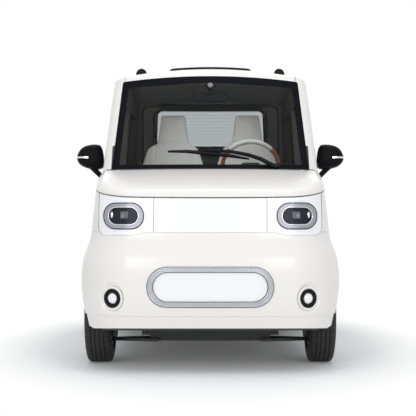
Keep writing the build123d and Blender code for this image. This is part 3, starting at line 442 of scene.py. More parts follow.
tan_leather, chrome, lamp_white = (plain_finish(look) for look in ("tan_leather", "chrome", "lamp_white"))
lamp_metal, projector_glass = plain_finish("lamp_grey"), plain_finish("projector_glass")
mirror_black, soft_rubber = plain_finish("mirror_black"), plain_finish("soft_rubber")
print("finishes", len(finish_of_slot) + len(finish_of_node))

# %% [markdown]
# ## Helpers for modelling
# Blender's modelling operators work on what is selected. These few helpers start a clean selection, pick
# parts of a mesh in edit mode by a test on their place, and close a piece: its doubles merged, its faces
# turned outwards and its place applied, so that its object sits at the origin.

# %% Modelling helpers
MERGE = 0.00002
CLEAR_OF_CAR = 2.5


def start(name, add, **place):
    """A new piece from one of Blender's primitives."""
    bpy.ops.object.select_all(action="DESELECT")
    add(**place)
    piece = bpy.context.object
    piece.name = name
    piece.data.name = name
    return piece


def alone(piece):
    bpy.ops.object.select_all(action="DESELECT")
    piece.select_set(True)
    bpy.context.view_layer.objects.active = piece


def pick(piece, kind, test):
    """In edit mode, select the vertices, edges or faces whose middle passes the test."""
    bpy.ops.mesh.select_mode(type={"verts": "VERT", "edges": "EDGE", "faces": "FACE"}[kind])
    bpy.ops.mesh.select_all(action="DESELECT")
    mesh = bmesh.from_edit_mesh(piece.data)
    count = 0
    for item in getattr(mesh, kind):
        middle = item.co if kind == "verts" else sum((v.co for v in item.verts), Vector()) / len(item.verts)
        if test(middle):
            item.select_set(True)
            count += 1
    mesh.select_flush_mode()
    bmesh.update_edit_mesh(piece.data)
    return count


def edit_all(kind=None):
    """Enter edit mode with everything selected, in the select mode of that kind."""
    bpy.ops.object.mode_set(mode="EDIT")
    if kind:
        bpy.ops.mesh.select_mode(type=kind)
    bpy.ops.mesh.select_all(action="SELECT")


def leave_edit():
    bpy.ops.object.mode_set(mode="OBJECT")


def recessed(piece, test, rim, depth):
    """Sink the faces whose middle passes the test, inside a rim of that width."""
    bpy.ops.object.mode_set(mode="EDIT")
    count = pick(piece, "faces", test)
    bpy.ops.mesh.inset(thickness=rim, depth=0)
    bpy.ops.mesh.extrude_region_shrink_fatten(TRANSFORM_OT_shrink_fatten={"value": -depth})
    leave_edit()
    return count


def apply_all(piece):
    alone(piece)
    for modifier in list(piece.modifiers):
        bpy.ops.object.modifier_apply(modifier=modifier.name)


def rounded_edges(piece, width, segments=3):
    bevel = piece.modifiers.new("Bevel", "BEVEL")
    bevel.width, bevel.segments = width, segments
    bevel.limit_method = "ANGLE"
    apply_all(piece)


def subdivided(piece, levels):
    finer = piece.modifiers.new("Subdivision", "SUBSURF")
    finer.levels = finer.render_levels = levels
    apply_all(piece)


def close(piece, body, slot, finish=None, smooth=35):
    """Tidy a finished piece's mesh, shade it and hang it on its body."""
    alone(piece)
    bpy.ops.object.transform_apply(location=True, rotation=True, scale=True)
    apply_all(piece)
    edit_all()
    bpy.ops.mesh.remove_doubles(threshold=MERGE)
    bpy.ops.mesh.normals_make_consistent(inside=False)
    leave_edit()
    bpy.ops.object.shade_smooth_by_angle(angle=math.radians(smooth))
    if not piece.data.materials:
        piece.data.materials.append(finish or finish_of_slot[slot])
    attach(piece, body)
    return piece


def copied(piece, name, change, body):
    """A copy of a finished piece with its own mesh, moved or mirrored by a matrix."""
    twin = bpy.data.objects.new(name, piece.data.copy())
    twin.data.name = name
    scene.collection.objects.link(twin)
    twin.data.transform(change)
    if change.determinant() < 0:
        twin.data.flip_normals()
    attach(twin, body)
    return twin


def chain(name, points):
    """A chain of edges through points (x, y, z), left in edit mode with everything selected."""
    piece = start(name, bpy.ops.mesh.primitive_plane_add, size=0.001)
    edit_all("VERT")
    bpy.ops.mesh.merge(type="CENTER")
    bpy.ops.transform.translate(value=points[0])
    for here, there in zip(points, points[1:]):
        step = [new - old for old, new in zip(here, there)]
        bpy.ops.mesh.extrude_region_move(TRANSFORM_OT_translate={"value": step})
    bpy.ops.mesh.select_all(action="SELECT")
    return piece


def turned(name, outline, steps):
    """A piece turned about the X axis from an outline of (x, radius) points."""
    piece = chain(name, [(x, 0, radius) for x, radius in outline])
    bpy.ops.mesh.spin(steps=steps, angle=math.tau, center=(0, 0, 0), axis=(1, 0, 0))
    bpy.ops.mesh.select_all(action="SELECT")
    bpy.ops.mesh.remove_doubles(threshold=MERGE)
    bpy.ops.mesh.normals_make_consistent(inside=False)
    leave_edit()
    return piece


def box_piece(name, size, place, edge, segments=3):
    """A block of that size with rounded edges, set by a matrix."""
    piece = start(name, bpy.ops.mesh.primitive_cube_add, size=1)
    piece.data.transform(Matrix.Diagonal((*size, 1)))
    rounded_edges(piece, edge, segments)
    piece.data.transform(place)
    return piece


def round_piece(name, radius, depth, place, edge=0.0, segments=3, sides=40):
    """A short cylinder along its own Z axis, its edges rounded where edge says so, set by a matrix."""
    piece = start(name, bpy.ops.mesh.primitive_cylinder_add, vertices=sides, radius=radius, depth=depth)
    if edge:
        rounded_edges(piece, edge, segments)
    piece.data.transform(place)
    return piece


def dome_piece(name, size, place, segments):
    """A ball, flattened to that size each way from its centre, set by a matrix."""
    rings = segments // 2
    piece = start(name, bpy.ops.mesh.primitive_uv_sphere_add, radius=1, segments=segments, ring_count=rings)
    piece.data.transform(Matrix.Diagonal((*size, 1)))
    piece.data.transform(place)
    return piece


def shift(x, y, z):
    return Matrix.Translation((x, y, z))


def turn_about(axis, angle):
    return Matrix.Rotation(angle, 4, axis)


def surface_at(node, origin, towards):
    """Matrix of the spot where a ray meets a CAD node: Z looks out of its surface."""
    hit, place, facing, _ = nodes[node].ray_cast(Vector(origin), Vector(towards))
    assert hit, node
    return Matrix.Translation(place) @ facing.to_track_quat("Z", "Y").to_matrix().to_4x4()


def laid_on(piece, node, proud=0.0, down=False):
    """Push a piece backwards, or down, until it lies on a CAD node."""
    wrap = piece.modifiers.new("Shrinkwrap", "SHRINKWRAP")
    wrap.target = nodes[node]
    wrap.wrap_method = "PROJECT"
    wrap.use_project_y = not down
    wrap.use_project_z = down
    wrap.use_positive_direction = not down
    wrap.use_negative_direction = down
    wrap.offset = proud
    apply_all(piece)


def as_tube(piece, radii):
    """Turn a chain of edges into a round tube, with one radius or one for each point."""
    alone(piece)
    bpy.ops.object.convert(target="CURVE")
    tube = bpy.context.object
    tube.data.bevel_depth = 1.0
    tube.data.bevel_resolution = 2
    tube.data.use_fill_caps = True
    last = len(radii) - 1
    for spline in tube.data.splines:
        for index, point in enumerate(spline.points):
            along = index / max(len(spline.points) - 1, 1) * last
            low = max(min(int(along), last - 1), 0)
            point.radius = radii[low] + (radii[min(low + 1, last)] - radii[low]) * (along - low)
    bpy.ops.object.convert(target="MESH")
    return bpy.context.object


def bead(name, node, centre, size, corner, radius, wider=1.0, down=False):
    """A bead along a rounded rectangle, laid on a CAD node from the front or above, then made wider."""
    outline = start(name, bpy.ops.mesh.primitive_plane_add, size=1)
    outline.data.transform(Matrix.Diagonal((*size, 1, 1)))
    edit_all("VERT")
    bpy.ops.mesh.bevel(offset=corner, segments=8, affect="VERTICES")
    bpy.ops.mesh.delete(type="ONLY_FACE")
    bpy.ops.mesh.select_all(action="SELECT")
    bpy.ops.mesh.subdivide(number_cuts=3)
    leave_edit()
    if down:
        outline.data.transform(shift(*centre, CLEAR_OF_CAR))
    else:
        upright = shift(centre[0], -CLEAR_OF_CAR, centre[1]) @ turn_about("X", math.pi / 2)
        outline.data.transform(upright)
    laid_on(outline, node, down=down)
    outline.data.transform(Matrix.Diagonal((wider, 1, 1, 1)))
    return as_tube(outline, [radius])


def path_through(name, points, cuts=2):
    """A chain of edges through points (x, y, z), each edge cut up further."""
    path = chain(name, points)
    bpy.ops.mesh.subdivide(number_cuts=cuts)
    leave_edit()
    return path


def rod_over(name, node, points, radii, proud):
    """A tube through points (x, z), laid on a CAD node as seen from the front and standing proud of it."""
    path = path_through(name, [(x, -CLEAR_OF_CAR, z) for x, z in points])
    laid_on(path, node, proud)
    return as_tube(path, radii)


def shell_of(name, outline, centre, sections):
    """A shell along an outline of (x, z), scaled about its centre at each (y, scale) from the front."""
    shell = start(name, bpy.ops.mesh.primitive_circle_add, vertices=len(outline), radius=1)
    y, scale = sections[0]
    for vertex, (x, z) in zip(shell.data.vertices, outline):
        vertex.co = (centre[0] + (x - centre[0]) * scale, y, centre[1] + (z - centre[1]) * scale)
    edit_all("VERT")
    bpy.ops.mesh.edge_face_add()
    for next_y, next_scale in sections[1:]:
        grow = next_scale / scale
        bpy.ops.mesh.extrude_region_move(TRANSFORM_OT_translate={"value": (0, next_y - y, 0)})
        middle = (centre[0], next_y, centre[1])
        bpy.ops.transform.resize(value=(grow, 1, grow), center_override=middle)
        y, scale = next_y, next_scale
    leave_edit()
    return shell


def skin_of(name, node, voxel, rounds, finish, drawn_in=0.0):
    """A copy of a CAD node as one even skin of small faces, drawn in and smoothed."""
    piece = bpy.data.objects.new(name, nodes[node].data.copy())
    scene.collection.objects.link(piece)
    piece.data.name = name
    piece.data.materials.clear()
    piece.data.materials.append(finish)
    alone(piece)
    edit_all()
    bpy.ops.mesh.remove_doubles(threshold=0.0001)
    leave_edit()
    remesh = piece.modifiers.new("Remesh", "REMESH")
    remesh.mode = "VOXEL"
    remesh.voxel_size = voxel
    apply_all(piece)
    edit_all()
    if drawn_in:
        bpy.ops.transform.shrink_fatten(value=-drawn_in)
    bpy.ops.mesh.vertices_smooth(factor=0.5, repeat=rounds)
    leave_edit()
    return piece


# %% [markdown]
# ## Stuffed seats
# Each seat is a foam body under leather. The CAD solid gives its room. A copy of it is drawn in a little,
# rebuilt as an even skin by a voxel remesh, and blown up by cloth simulation with gravity off until the
# leather pulls tight over the foam. How far a point may move is capped, so the seat stays in its room.
# The seams come last, pressed in where the panels of leather meet.

# %% A stuffed piece from a soft CAD node
CLOTH_FRAMES = 20
LARGEST_MOVE = 0.012


def stuffed(name, node, voxel, drawn_in, seams):
    piece = skin_of(name, node, voxel, 4, finish_of_slot["seat_leather"], drawn_in)
    before = [v.co.copy() for v in piece.data.vertices]
    cloth = piece.modifiers.new("Cloth", "CLOTH")
    cloth.settings.quality = 4
    cloth.settings.mass = 0.2
    cloth.settings.tension_stiffness = 12
    cloth.settings.compression_stiffness = 12
    cloth.settings.bending_stiffness = 0.4
    cloth.settings.use_pressure = True
    cloth.settings.uniform_pressure_force = 4
    cloth.settings.effector_weights.gravity = 0
    cloth.point_cache.frame_start = 1
    cloth.point_cache.frame_end = CLOTH_FRAMES
    for frame_number in range(1, CLOTH_FRAMES + 1):
        scene.frame_set(frame_number)
    apply_all(piece)
    moved = 0
    for vertex, was in zip(piece.data.vertices, before):
        move = vertex.co - was
        moved = max(moved, move.length)
        if move.length > LARGEST_MOVE:
            vertex.co = was + move * (LARGEST_MOVE / move.length)
    scene.frame_set(1)
    print(name, "blown up by", round(moved, 4))
    subdivided(piece, 1)
    outwards = [v.normal.copy() for v in piece.data.vertices]
    for vertex, out in zip(piece.data.vertices, outwards):
        press = max(depth * math.exp(-((away(vertex.co, out) / SEAM_WIDTH) ** 2)) for away, depth in seams)
        vertex.co -= out * press
    alone(piece)
    bpy.ops.object.shade_smooth()
    hang_seat(piece, node)
    print(name, len(piece.data.polygons))
    return piece


def hang_seat(piece, node):
    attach(piece, "body")
    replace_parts(piece, node)


# %% Seams of the seats
SEAM_WIDTH = 0.0055
BOLSTER_X = 0.118
NECK_Z = 1.272
BENCH_SEAM_X = 0.2
SIDE_FACE = 0.75
FAR = 1.0


def bolster_seams(point, out):
    """Two seams part the bolsters from the middle panel."""
    return abs(abs(point.x - SEAT_X) - BOLSTER_X) if abs(out.x) < SIDE_FACE else FAR


def neck_seam(point, out):
    return abs(point.z - NECK_Z)


def channels(axis, first, step, rows):
    """Stitched channels across the middle panel."""
    def away(point, out):
        if abs(point.x - SEAT_X) > BOLSTER_X:
            return FAR
        row = min(max(round((point[axis] - first) / step), 0), rows - 1)
        return abs(point[axis] - first - row * step)
    return away


def bench_split(point, out):
    return abs(point.x)


def bench_sides(point, out):
    return abs(abs(point.x) - BENCH_SEAM_X) if abs(out.x) < SIDE_FACE else FAR


# %% Front seats and rear bench
cushion = stuffed(
    "seat_cushion_pad_left", "seat_cushion_left", 0.011, 0.006,
    [(bolster_seams, 0.006), (channels(1, -0.12, 0.09, 4), 0.004)],
)
back = stuffed(
    "seat_back_pad_left", "seat_back_left", 0.011, 0.005,
    [(bolster_seams, 0.006), (neck_seam, 0.008), (channels(2, 0.76, 0.11, 4), 0.004)],
)
bench_seams = [(bench_split, 0.007), (bench_sides, 0.005)]
stuffed("bench_cushion_pad", "rear_bench_cushion", 0.013, 0.006, bench_seams)
stuffed("bench_back_pad", "rear_bench_back", 0.013, 0.006, bench_seams)
to_right = shift(-2 * SEAT_X, 0, 0)
hang_seat(copied(cushion, "seat_cushion_pad_right", to_right, "body"), "seat_cushion_right")
hang_seat(copied(back, "seat_back_pad_right", to_right, "body"), "seat_back_right")

# %% [markdown]
# ## Steering wheel
# The rim is a cast ring wrapped in pale leather, with tan grips at ten and two. The hub carries the
# airbag cover, and three flat spokes join them. The wheel is modelled flat and then set on its column,
# which rises at 30 degrees from level, so the wheel's own Y axis points down at the driver's knees.

# %% Ring, grips, spokes and hub
HUB = Vector((SEAT_X, -0.250, 1.096))
RING_RADIUS = 0.170
GRIP_MIDDLE = 17
GRIP_HALF = 28
wheel_place = shift(*HUB) @ turn_about("X", COLUMN_LEAN)
ring = start(
    "steering_ring", bpy.ops.mesh.primitive_torus_add,
    major_radius=RING_RADIUS, minor_radius=0.0140, major_segments=96, minor_segments=20,
)
ring.data.materials.append(finish_of_slot["wheel_leather"])
ring.data.materials.append(tan_leather)
for face in ring.data.polygons:
    above = math.degrees(math.atan2(-face.center.y, abs(face.center.x)))
    face.material_index = 1 if abs(above - GRIP_MIDDLE) < GRIP_HALF else 0
ring.data.transform(wheel_place)
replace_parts(close(ring, "steering_wheel", "wheel_leather", smooth=60), "steering_wheel")
cover = box_piece("airbag_cover", (0.116, 0.080, 0.040), wheel_place @ shift(0, 0.012, -0.004), 0.018, 5)
close(cover, "steering_wheel", "dark_plastic", smooth=50)
for index, turn in enumerate((0, 90, 180)):
    lean = turn_about("Z", math.radians(turn)) @ shift(0.108, 0, -0.004)
    spoke = box_piece(f"wheel_spoke_{index}", (0.124, 0.032, 0.011), wheel_place @ lean, 0.004)
    close(spoke, "steering_wheel", "wheel_leather", smooth=50)
print("steering wheel", 5)

# %% [markdown]
# ## Lamps
# Behind each headlamp lens sit a square projector and, at the outer end, a bright reflector bowl. Both
# are set on the floor of the lens recess, where a ray from the front meets the lamp body. A chrome bead
# runs round the lens, and a dark bead round the whole lamp is a painted shadow line in the gap round it.
# The low round lamps get a domed lens and a painted collar.

# %% Headlamps
for hand, side in (("left", 1), ("right", -1)):
    lamp = f"headlamp_{hand}"
    spot = surface_at(lamp, (side * (LAMP_X - 0.006), AHEAD, LAMP_Z + 0.004), BACKWARDS)
    projector = start(f"projector_{hand}", bpy.ops.mesh.primitive_cube_add, size=1)
    projector.data.transform(Matrix.Diagonal((0.042, 0.036, 0.010, 1)))
    recessed(projector, lambda middle: middle.z > 0.004, 0.005, 0.003)
    rounded_edges(projector, 0.0012, 2)
    projector.data.transform(spot)
    close(projector, "body", "satin_silver", projector_glass)
    spot = surface_at(lamp, (side * (LAMP_X + 0.063), AHEAD, LAMP_Z + 0.006), BACKWARDS)
    bowl = dome_piece(f"reflector_{hand}", (0.010, 0.020, 0.006), spot, 32)
    close(bowl, "body", "satin_silver", chrome, smooth=60)
    lens_bead = bead(f"lens_bead_{hand}", lamp, (side * LAMP_X, LAMP_Z), (0.1595, 0.0915), 0.0450, 0.0026)
    close(lens_bead, "body", "satin_silver", chrome, smooth=60)
    # A dark bead round the whole lamp: a painted shadow line in the gap round it.
    seal = bead(f"lamp_seal_{hand}", lamp, (side * LAMP_X, LAMP_Z), (0.2120, 0.1340), 0.0640, 0.0026)
    close(seal, "body", "gloss_black", smooth=60)
print("headlamp pieces", 8)

# %% Low round lamps
for hand, side in (("left", 1), ("right", -1)):
    spot = surface_at(f"fog_lamp_{hand}", (side * FOG_X, AHEAD, FOG_Z), BACKWARDS)
    dome = dome_piece(f"round_lens_{hand}", (0.0275, 0.0275, 0.009), spot, 48)
    close(dome, "body", "lamp_glass", lamp_white, smooth=60)
    collar = start(
        f"round_collar_{hand}", bpy.ops.mesh.primitive_torus_add,
        major_radius=0.0560, minor_radius=0.0075, major_segments=72, minor_segments=16,
    )
    collar.data.transform(spot @ shift(0, 0, 0.003) @ Matrix.Diagonal((1, 1, 0.45, 1)))
    close(collar, "body", "body_paint", smooth=60)
print("round lamp pieces", 4)

# %% [markdown]
# ## Ring in the nose and the roof panel
# The silver ring is a rolled section, so a bead runs along its outer and its inner edge and catches the
# light. A thin dark bead lies in the corner between the ring and the bumper, a painted shadow line there,
# and a thicker dark seal frames the roof panel.

# %% Beads, seals and painted shadow lines
# The two dark beads on the bumper are painted shadow lines in the corner round the ring.
for name, node, size, radius, slot in (
    ("ring_outer_bead", "grille_ring", (0.638, 0.195), 0.0038, "satin_silver"),
    ("ring_inner_bead", "grille_ring", (0.598, 0.161), 0.0036, "satin_silver"),
    ("ring_outer_seal", "front_bumper", (0.650, 0.207), 0.0016, "dark_plastic"),
    ("ring_inner_seal", "front_bumper", (0.587, 0.150), 0.0016, "dark_plastic"),
):
    close(bead(name, node, (0, RING_Z), size, size[1] / 2 - 0.0005, radius), "body", slot, smooth=60)
roof_seal = bead("roof_panel_seal", "roof_panel", (0, -0.020), (0.480, 0.744), 0.062, 0.007, down=True)
close(roof_seal, "body", "dark_plastic", soft_rubber, smooth=60)
print("beads", 5)

# %% [markdown]
# ## Wiper
# One arm and one blade. The arm is a pressed bar that narrows towards its hook, and the blade is a rubber
# with a long spring back, thickest in the middle. Both follow the windshield at a small height.

# %% Arm, blade and pivot
PIVOT = (0.369, 1.072)
PIVOT_DEPTH = 0.029
arm_path = [PIVOT, (0.279, 1.1195), (0.215, 1.141), (0.116, 1.160), (0.0, 1.168), (-0.05, 1.166)]
arm = rod_over("wiper_arm", "windshield", arm_path, [0.013, 0.0115, 0.0110, 0.0100, 0.0085, 0.0050], 0.026)
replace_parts(close(arm, "body", "gloss_black", smooth=60), "wiper")
blade_path = [(-0.237, 1.162), (-0.133, 1.162), (-0.019, 1.152), (0.116, 1.136), (0.217, 1.119)]
blade = rod_over("wiper_blade", "windshield", blade_path, [0.0060, 0.0095, 0.0115, 0.0100, 0.0055], 0.012)
close(blade, "body", "gloss_black", smooth=60)
spot = surface_at("windshield", (PIVOT[0], AHEAD, PIVOT[1]), BACKWARDS)
pivot = round_piece("wiper_pivot", 0.016, PIVOT_DEPTH, spot @ shift(0, 0, PIVOT_DEPTH / 2), 0.004, sides=32)
close(pivot, "body", "gloss_black")
print("wiper pieces", 3)

# %% [markdown]
# ## Seals
# A hollow rubber seal closes the gap round the tailgate, and a black frame holds its window from inside.

# %% Tailgate seals
gap_seal = bead("tailgate_seal", "tailgate", (0, 1.10), (0.966, 0.978), 0.055, 0.016, wider=1.034)
close(gap_seal, "tailgate", "dark_plastic", soft_rubber, smooth=60)
window_seal = bead("tail_window_seal", "tailgate", (0, 1.426), (0.812, 0.290), 0.080, 0.013)
close(window_seal, "tailgate", "dark_plastic", soft_rubber, smooth=60)
print("seals", 2)

# %% [markdown]
# ## Tyres
# A tyre is turned from its cross section: tread with four grooves round it, rounded shoulders, bulged
# sidewalls with a rim guard rib, and the bead that grips the rim. Narrow slits across the shoulders let
# water out.

# %% Cross section of the tyre
TYRE_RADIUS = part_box("tyre_front_left")[1].z / 2
BEAD = (0.050, 0.166)
half_section = [
    BEAD, (0.0600, 0.172), (0.0672, 0.182), (0.0690, 0.1835), (0.0706, 0.183), (0.0712, 0.190),
    (0.0722, 0.204), (0.0708, 0.219), (0.0680, 0.232), (0.0640, 0.2425), (0.0580, 0.2495),
    (0.0510, 0.2523), (0.0420, 0.2532),
]
for groove in (0.0345, 0.0125):
    half_section += [
        (groove + 0.0036, TYRE_RADIUS - 0.0005), (groove + 0.0026, TYRE_RADIUS - 0.0065),
        (groove - 0.0026, TYRE_RADIUS - 0.0065), (groove - 0.0036, TYRE_RADIUS - 0.0003),
    ]
section = half_section + [(-x, radius) for x, radius in reversed(half_section)]
tyre = turned("tyre_tread", section + [BEAD], 90)
print("tyre faces", len(tyre.data.polygons))

# %% Slits across the shoulders
SLIT_EVERY = 8
SLIT_X = (0.0395, 0.062)
alone(tyre)
bpy.ops.object.mode_set(mode="EDIT")


def shoulder_slit(middle):
    turn = math.degrees(math.atan2(middle.y, middle.z)) % SLIT_EVERY
    outside = math.hypot(middle.y, middle.z) > 0.246
    return outside and min(turn, SLIT_EVERY - turn) < 0.5 and SLIT_X[0] < abs(middle.x) < SLIT_X[1]


print("slit edges", pick(tyre, "edges", shoulder_slit))
bpy.ops.mesh.bevel(offset=0.0013, segments=1)
bpy.ops.mesh.select_mode(type="FACE")
bpy.ops.mesh.extrude_region_shrink_fatten(TRANSFORM_OT_shrink_fatten={"value": -0.0045})
leave_edit()

# %% One tyre on each wheel
wheels = {}
for name in ("front_left", "front_right", "rear_left", "rear_right"):
    low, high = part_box(f"tyre_{name}")
    wheels[name] = shift(*(low + high) / 2)
    if "right" in name:
        wheels[name] = wheels[name] @ MIRROR_X
for name, place in wheels.items():
    rubber = copied(tyre, f"tyre_tread_{name}", place, f"wheel_{name}")
    close(rubber, f"wheel_{name}", "tyre", smooth=30)
    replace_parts(rubber, f"tyre_{name}")
bpy.data.objects.remove(tyre)
print("tyres", 4)

# %% [markdown]
# ## Wheels
# Four bolts hold each wheel, a cap closes the hub, and inboard of the disc sits the brake drum.

# %% Bolts, cap and drum
BOLTS = 4
BOLT_CIRCLE = 0.050
CAP_SECTION = [(0.050, 0.0), (0.0495, 0.014), (0.047, 0.0225), (0.0415, 0.0255), (0.0415, 0.0)]
DRUM_SECTION = [
    (-0.050, 0.034), (-0.050, 0.094), (-0.047, 0.100), (-0.014, 0.100), (-0.010, 0.094), (-0.010, 0.038),
    (-0.050, 0.034),
]
for name, place in wheels.items():
    body = f"wheel_{name}"
    cap = turned(f"hub_cap_{name}", CAP_SECTION, 40)
    cap.data.transform(place)
    close(cap, body, "dark_plastic")
    drum = turned(f"brake_drum_{name}", DRUM_SECTION, 48)
    drum.data.transform(place)
    close(drum, body, "cast_steel")
    for index in range(BOLTS):
        turn = turn_about("X", math.tau * (index + 0.5) / BOLTS)
        at = place @ turn @ shift(0.038, 0, BOLT_CIRCLE) @ turn_about("Y", math.pi / 2)
        bolt = round_piece(f"wheel_bolt_{name}_{index}", 0.0095, 0.014, at, 0.0012, 2, sides=6)
        close(bolt, body, "bright_steel", smooth=40)
print("wheel pieces", len(wheels) * (BOLTS + 2))

# %% [markdown]
# ## Mirrors
# A door mirror's shell is one smooth moulding round a flat glass. The interior mirror hangs on a ball
# joint from a round foot that is glued to the windshield.

# %% Door mirrors
MIRROR_OUTLINE = [
    (0.7895, 1.137), (0.786, 1.158), (0.777, 1.180), (0.762, 1.199), (0.742, 1.212), (0.716, 1.220),
    (0.686, 1.2235), (0.658, 1.222), (0.646, 1.213), (0.638, 1.196), (0.632, 1.172), (0.6285, 1.145),
    (0.6275, 1.118), (0.628, 1.096), (0.633, 1.082), (0.648, 1.074), (0.670, 1.0715), (0.700, 1.074),
    (0.728, 1.080), (0.752, 1.089), (0.771, 1.102), (0.783, 1.118),
]
MIRROR_CENTRE = (0.700, 1.146)
SHELL_SECTIONS = [
    (-0.496, 0.30), (-0.4945, 0.50), (-0.489, 0.70), (-0.478, 0.86), (-0.460, 0.96), (-0.435, 1.0),
    (-0.412, 1.0),
]
shell = shell_of("mirror_shell_left", MIRROR_OUTLINE, MIRROR_CENTRE, SHELL_SECTIONS)
print("rear faces", recessed(shell, lambda middle: middle.y > -0.4125, 0.006, 0.006))
subdivided(shell, 2)
shell.data.materials.append(mirror_finish)
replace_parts(close(shell, "door_left", "gloss_black", smooth=60), "door_mirror_left")
glass = shell_of("mirror_glass_left", MIRROR_OUTLINE, MIRROR_CENTRE, [(-0.4165, 0.90), (-0.4135, 0.90)])
rounded_edges(glass, 0.0008, 2)
close(glass, "door_left", "satin_silver", chrome)
arm_points = [(0.704, -0.447, 1.095), (0.676, -0.449, 1.066), (0.650, -0.452, 1.040), (0.634, -0.454, 1.024)]
arm = as_tube(path_through("mirror_arm_left", arm_points), [0.018, 0.016, 0.015, 0.015])
close(arm, "door_left", "gloss_black", mirror_black, smooth=60)
for piece, slot in ((glass, "satin_silver"), (arm, "gloss_black"), (shell, "gloss_black")):
    twin = copied(piece, piece.name.replace("left", "right"), MIRROR_X, "door_right")
    close(twin, "door_right", slot, smooth=60)
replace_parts(twin, "door_mirror_right")

# %% Interior mirror
low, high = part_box("rear_view_mirror")
spot = surface_at("rear_view_mirror", (0, 0.8, low.z + 0.028), FORWARDS)
housing = skin_of("cabin_mirror", "rear_view_mirror", 0.003, 3, finish_of_slot["gloss_black"])
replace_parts(close(housing, "body", "dark_plastic", smooth=60), "rear_view_mirror")
glass = box_piece("cabin_mirror_glass", (0.186, 0.046, 0.003), spot, 0.0012, 2)
close(glass, "body", "satin_silver", chrome)
spot = surface_at("windshield", (0, 0.8, 1.560), FORWARDS)
foot = round_piece("cabin_mirror_foot", 0.026, 0.018, spot @ shift(0, 0, 0.0095), 0.005)
close(foot, "body", "gloss_black")
plate = round_piece("cabin_mirror_plate", 0.015, 0.002, spot @ shift(0, 0, -0.0002))
close(plate, "body", "satin_silver", lamp_metal)
print("mirror pieces", 8)

# %% [markdown]
# ## Dashboard and controls
# The dashboard gets what a driver sees: a blank screen in the middle, four air outlets, the gear knob,
# two stalks and two pedals.

# %% Screen and air outlets
def on_dashboard(x, z):
    return surface_at("dashboard", (x, 0.6, z), FORWARDS)


SLATS = 3
OUTLETS = (-0.50, -0.17, 0.17, 0.52)
SCREEN_SIZE = (0.235, 0.120, 0.014)
screen = box_piece("dashboard_screen", SCREEN_SIZE, on_dashboard(0, 0.985) @ shift(0, 0, 0.006), 0.004)
close(screen, "body", "gloss_black")
for index, x in enumerate(OUTLETS):
    at = on_dashboard(x, 0.93)
    vent = round_piece(f"air_outlet_{index}", 0.036, 0.012, Matrix.Identity(4), sides=48)
    recessed(vent, lambda middle: middle.z > 0.005, 0.006, 0.008)
    vent.data.transform(at @ shift(0, 0, 0.004))
    close(vent, "body", "dark_plastic", lamp_metal)
    for slat in range(SLATS):
        lean = at @ shift(0, (slat - 1) * 0.015, 0.006) @ turn_about("X", 0.5)
        blade = box_piece(f"outlet_slat_{index}_{slat}", (0.056, 0.008, 0.0016), lean, 0.0006, 1)
        close(blade, "body", "dark_plastic")
print("dashboard pieces", 1 + len(OUTLETS) * (1 + SLATS))

# %% Stalks, gear knob and pedals
for index, side in enumerate((1, -1)):
    stalk = start(
        f"stalk_{index}", bpy.ops.mesh.primitive_cone_add,
        vertices=24, radius1=0.006, radius2=0.009, depth=0.11,
    )
    rounded_edges(stalk, 0.002, 2)
    out = shift(side * 0.085, -0.006, -0.045) @ turn_about("Y", side * math.pi / 2)
    stalk.data.transform(wheel_place @ out)
    close(stalk, "body", "dark_plastic")
knob = round_piece("gear_knob", 0.028, 0.024, on_dashboard(0, 0.86) @ shift(0, 0, 0.010), 0.005, sides=48)
close(knob, "body", "satin_silver")
for name, x, width in (("brake_pedal", 0.275, 0.085), ("drive_pedal", 0.165, 0.050)):
    lean = shift(x, -0.640, 0.395) @ turn_about("X", math.radians(50))
    close(box_piece(name, (width, 0.012, 0.075), lean, 0.004), "body", "dark_plastic", soft_rubber)
    arm_place = shift(x, -0.660, 0.50) @ turn_about("X", math.radians(12))
    close(box_piece(f"{name}_arm", (0.014, 0.010, 0.24), arm_place, 0.003), "body", "chassis_black")
print("controls", 7)

# %% [markdown]
# ## Floor, light and camera
# The photograph is a studio cut-out: white all round and a soft light from above. The floor keeps the
# car's shadow near the wheels and fades to plain white further off; to the camera it also glows faintly
# everywhere, a painted light that lifts the shadow under the car. Rays that the camera, a mirror or
# glass sends past the car meet plain white.

# %% Floor
WHITE = (1, 1, 1, 1)
FLOOR_Y = 10
SHADOW_WIDE, SHADOW_DEEP = 1.1, 1.9


def past_the_car(tree):
    """1 for rays from the camera, through glass or off a mirror, and 0 for light on its way to the car."""
    path = tree.nodes.new("ShaderNodeLightPath")
    seen = number(tree, "MAXIMUM", path.outputs["Is Camera Ray"], path.outputs["Is Transmission Ray"])
    return number(tree, "MAXIMUM", seen, path.outputs["Is Glossy Ray"])


scene.view_settings.view_transform = "Standard"
studio_floor = start("studio_floor", bpy.ops.mesh.primitive_plane_add, size=120, location=(0, FLOOR_Y, 0))
floor_finish, tree, out = empty_finish("studio_floor")
matt = tree.nodes.new("ShaderNodeBsdfDiffuse")
matt.inputs["Color"].default_value = (0.9, 0.9, 0.9, 1)
bright = tree.nodes.new("ShaderNodeEmission")
bright.inputs["Strength"].default_value = 1.0
x, y, z = place_and_facing(tree)[:3]
deep = number(tree, "DIVIDE", number(tree, "ADD", y, FLOOR_Y), SHADOW_DEEP)
reach = reach_of(tree, number(tree, "DIVIDE", x, SHADOW_WIDE), deep)
fade = tree.nodes.new("ShaderNodeMapRange")
fade.inputs["From Min"].default_value = 0.85
fade.inputs["From Max"].default_value = 1.25
tree.links.new(reach, fade.inputs["Value"])
# The floor glows at 0.07 of white at least, even under the car: painted light in the car's shadow.
clear = number(tree, "MULTIPLY", number(tree, "MAXIMUM", fade.outputs["Result"], 0.07), past_the_car(tree))
tree.links.new(blend(tree, clear, matt.outputs["BSDF"], bright.outputs["Emission"]), out.inputs["Surface"])
studio_floor.data.materials.append(floor_finish)

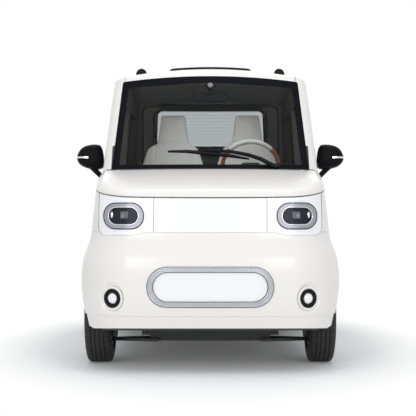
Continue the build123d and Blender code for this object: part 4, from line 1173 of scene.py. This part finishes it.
# %% Sky
world = bpy.data.worlds.new("studio")
scene.world = world
world.use_nodes = True
tree = world.node_tree
tree.nodes.clear()
out = tree.nodes.new("ShaderNodeOutputWorld")
fill = tree.nodes.new("ShaderNodeBackground")
fill.inputs["Color"].default_value = (0.95, 0.97, 1.0, 1)
fill.inputs["Strength"].default_value = 0.6
white = tree.nodes.new("ShaderNodeBackground")
white.inputs["Color"].default_value = WHITE
white.inputs["Strength"].default_value = 1.0
sky = blend(tree, past_the_car(tree), fill.outputs["Background"], white.outputs["Background"])
tree.links.new(sky, out.inputs["Surface"])


# %% Lamps
def soft_box(name, at, aim, size, power):
    bpy.ops.object.light_add(type="AREA", location=at)
    lamp = bpy.context.object
    lamp.name = name
    lamp.data.shape = "RECTANGLE"
    lamp.data.size, lamp.data.size_y = size
    lamp.data.energy = power
    lamp.rotation_euler = (Vector(at) - Vector(aim)).to_track_quat("Z", "Y").to_euler()
    return lamp


soft_box("top_box", (0, -0.6, 4.6), (0, 0, 0.8), (3.4, 5.0), 64)
for name, side in (("front_left_box", 1), ("front_right_box", -1)):
    soft_box(name, (side * 2.2, -6.4, 2.3), (0, -1, 0.9), (2.4, 2.4), 65)
soft_box("back_box", (0, 5.5, 3.2), (0, 1, 0.9), (4.0, 2.5), 60)

# %% Cabin light
cabin_box = soft_box("cabin_box", (0, -0.25, 1.53), (0, 0.25, 0.9), (0.8, 0.4), 2.2)
cabin_box.visible_camera = False
cabin_box.visible_glossy = False
cabin_box.visible_transmission = False

# %% [markdown]
# The picture was taken with a long lens, level, from 6 m in front of the bumper and at window height. The
# car sits two pixels right of the middle, which a small sideways shift of the lens gives.

# %% Camera
FOCAL_PIXELS = 1179
FRAME_PIXELS = 416
SHIFT_PIXELS = -2.3
SENSOR = 36
bpy.ops.object.camera_add(location=(0, -7.4, 0.846), rotation=(math.pi / 2, 0, 0))
camera = bpy.context.object
camera.data.sensor_width = SENSOR
camera.data.lens = SENSOR * FOCAL_PIXELS / FRAME_PIXELS
camera.data.shift_x = SHIFT_PIXELS / FRAME_PIXELS
scene.camera = camera
print("lens", round(camera.data.lens, 1))
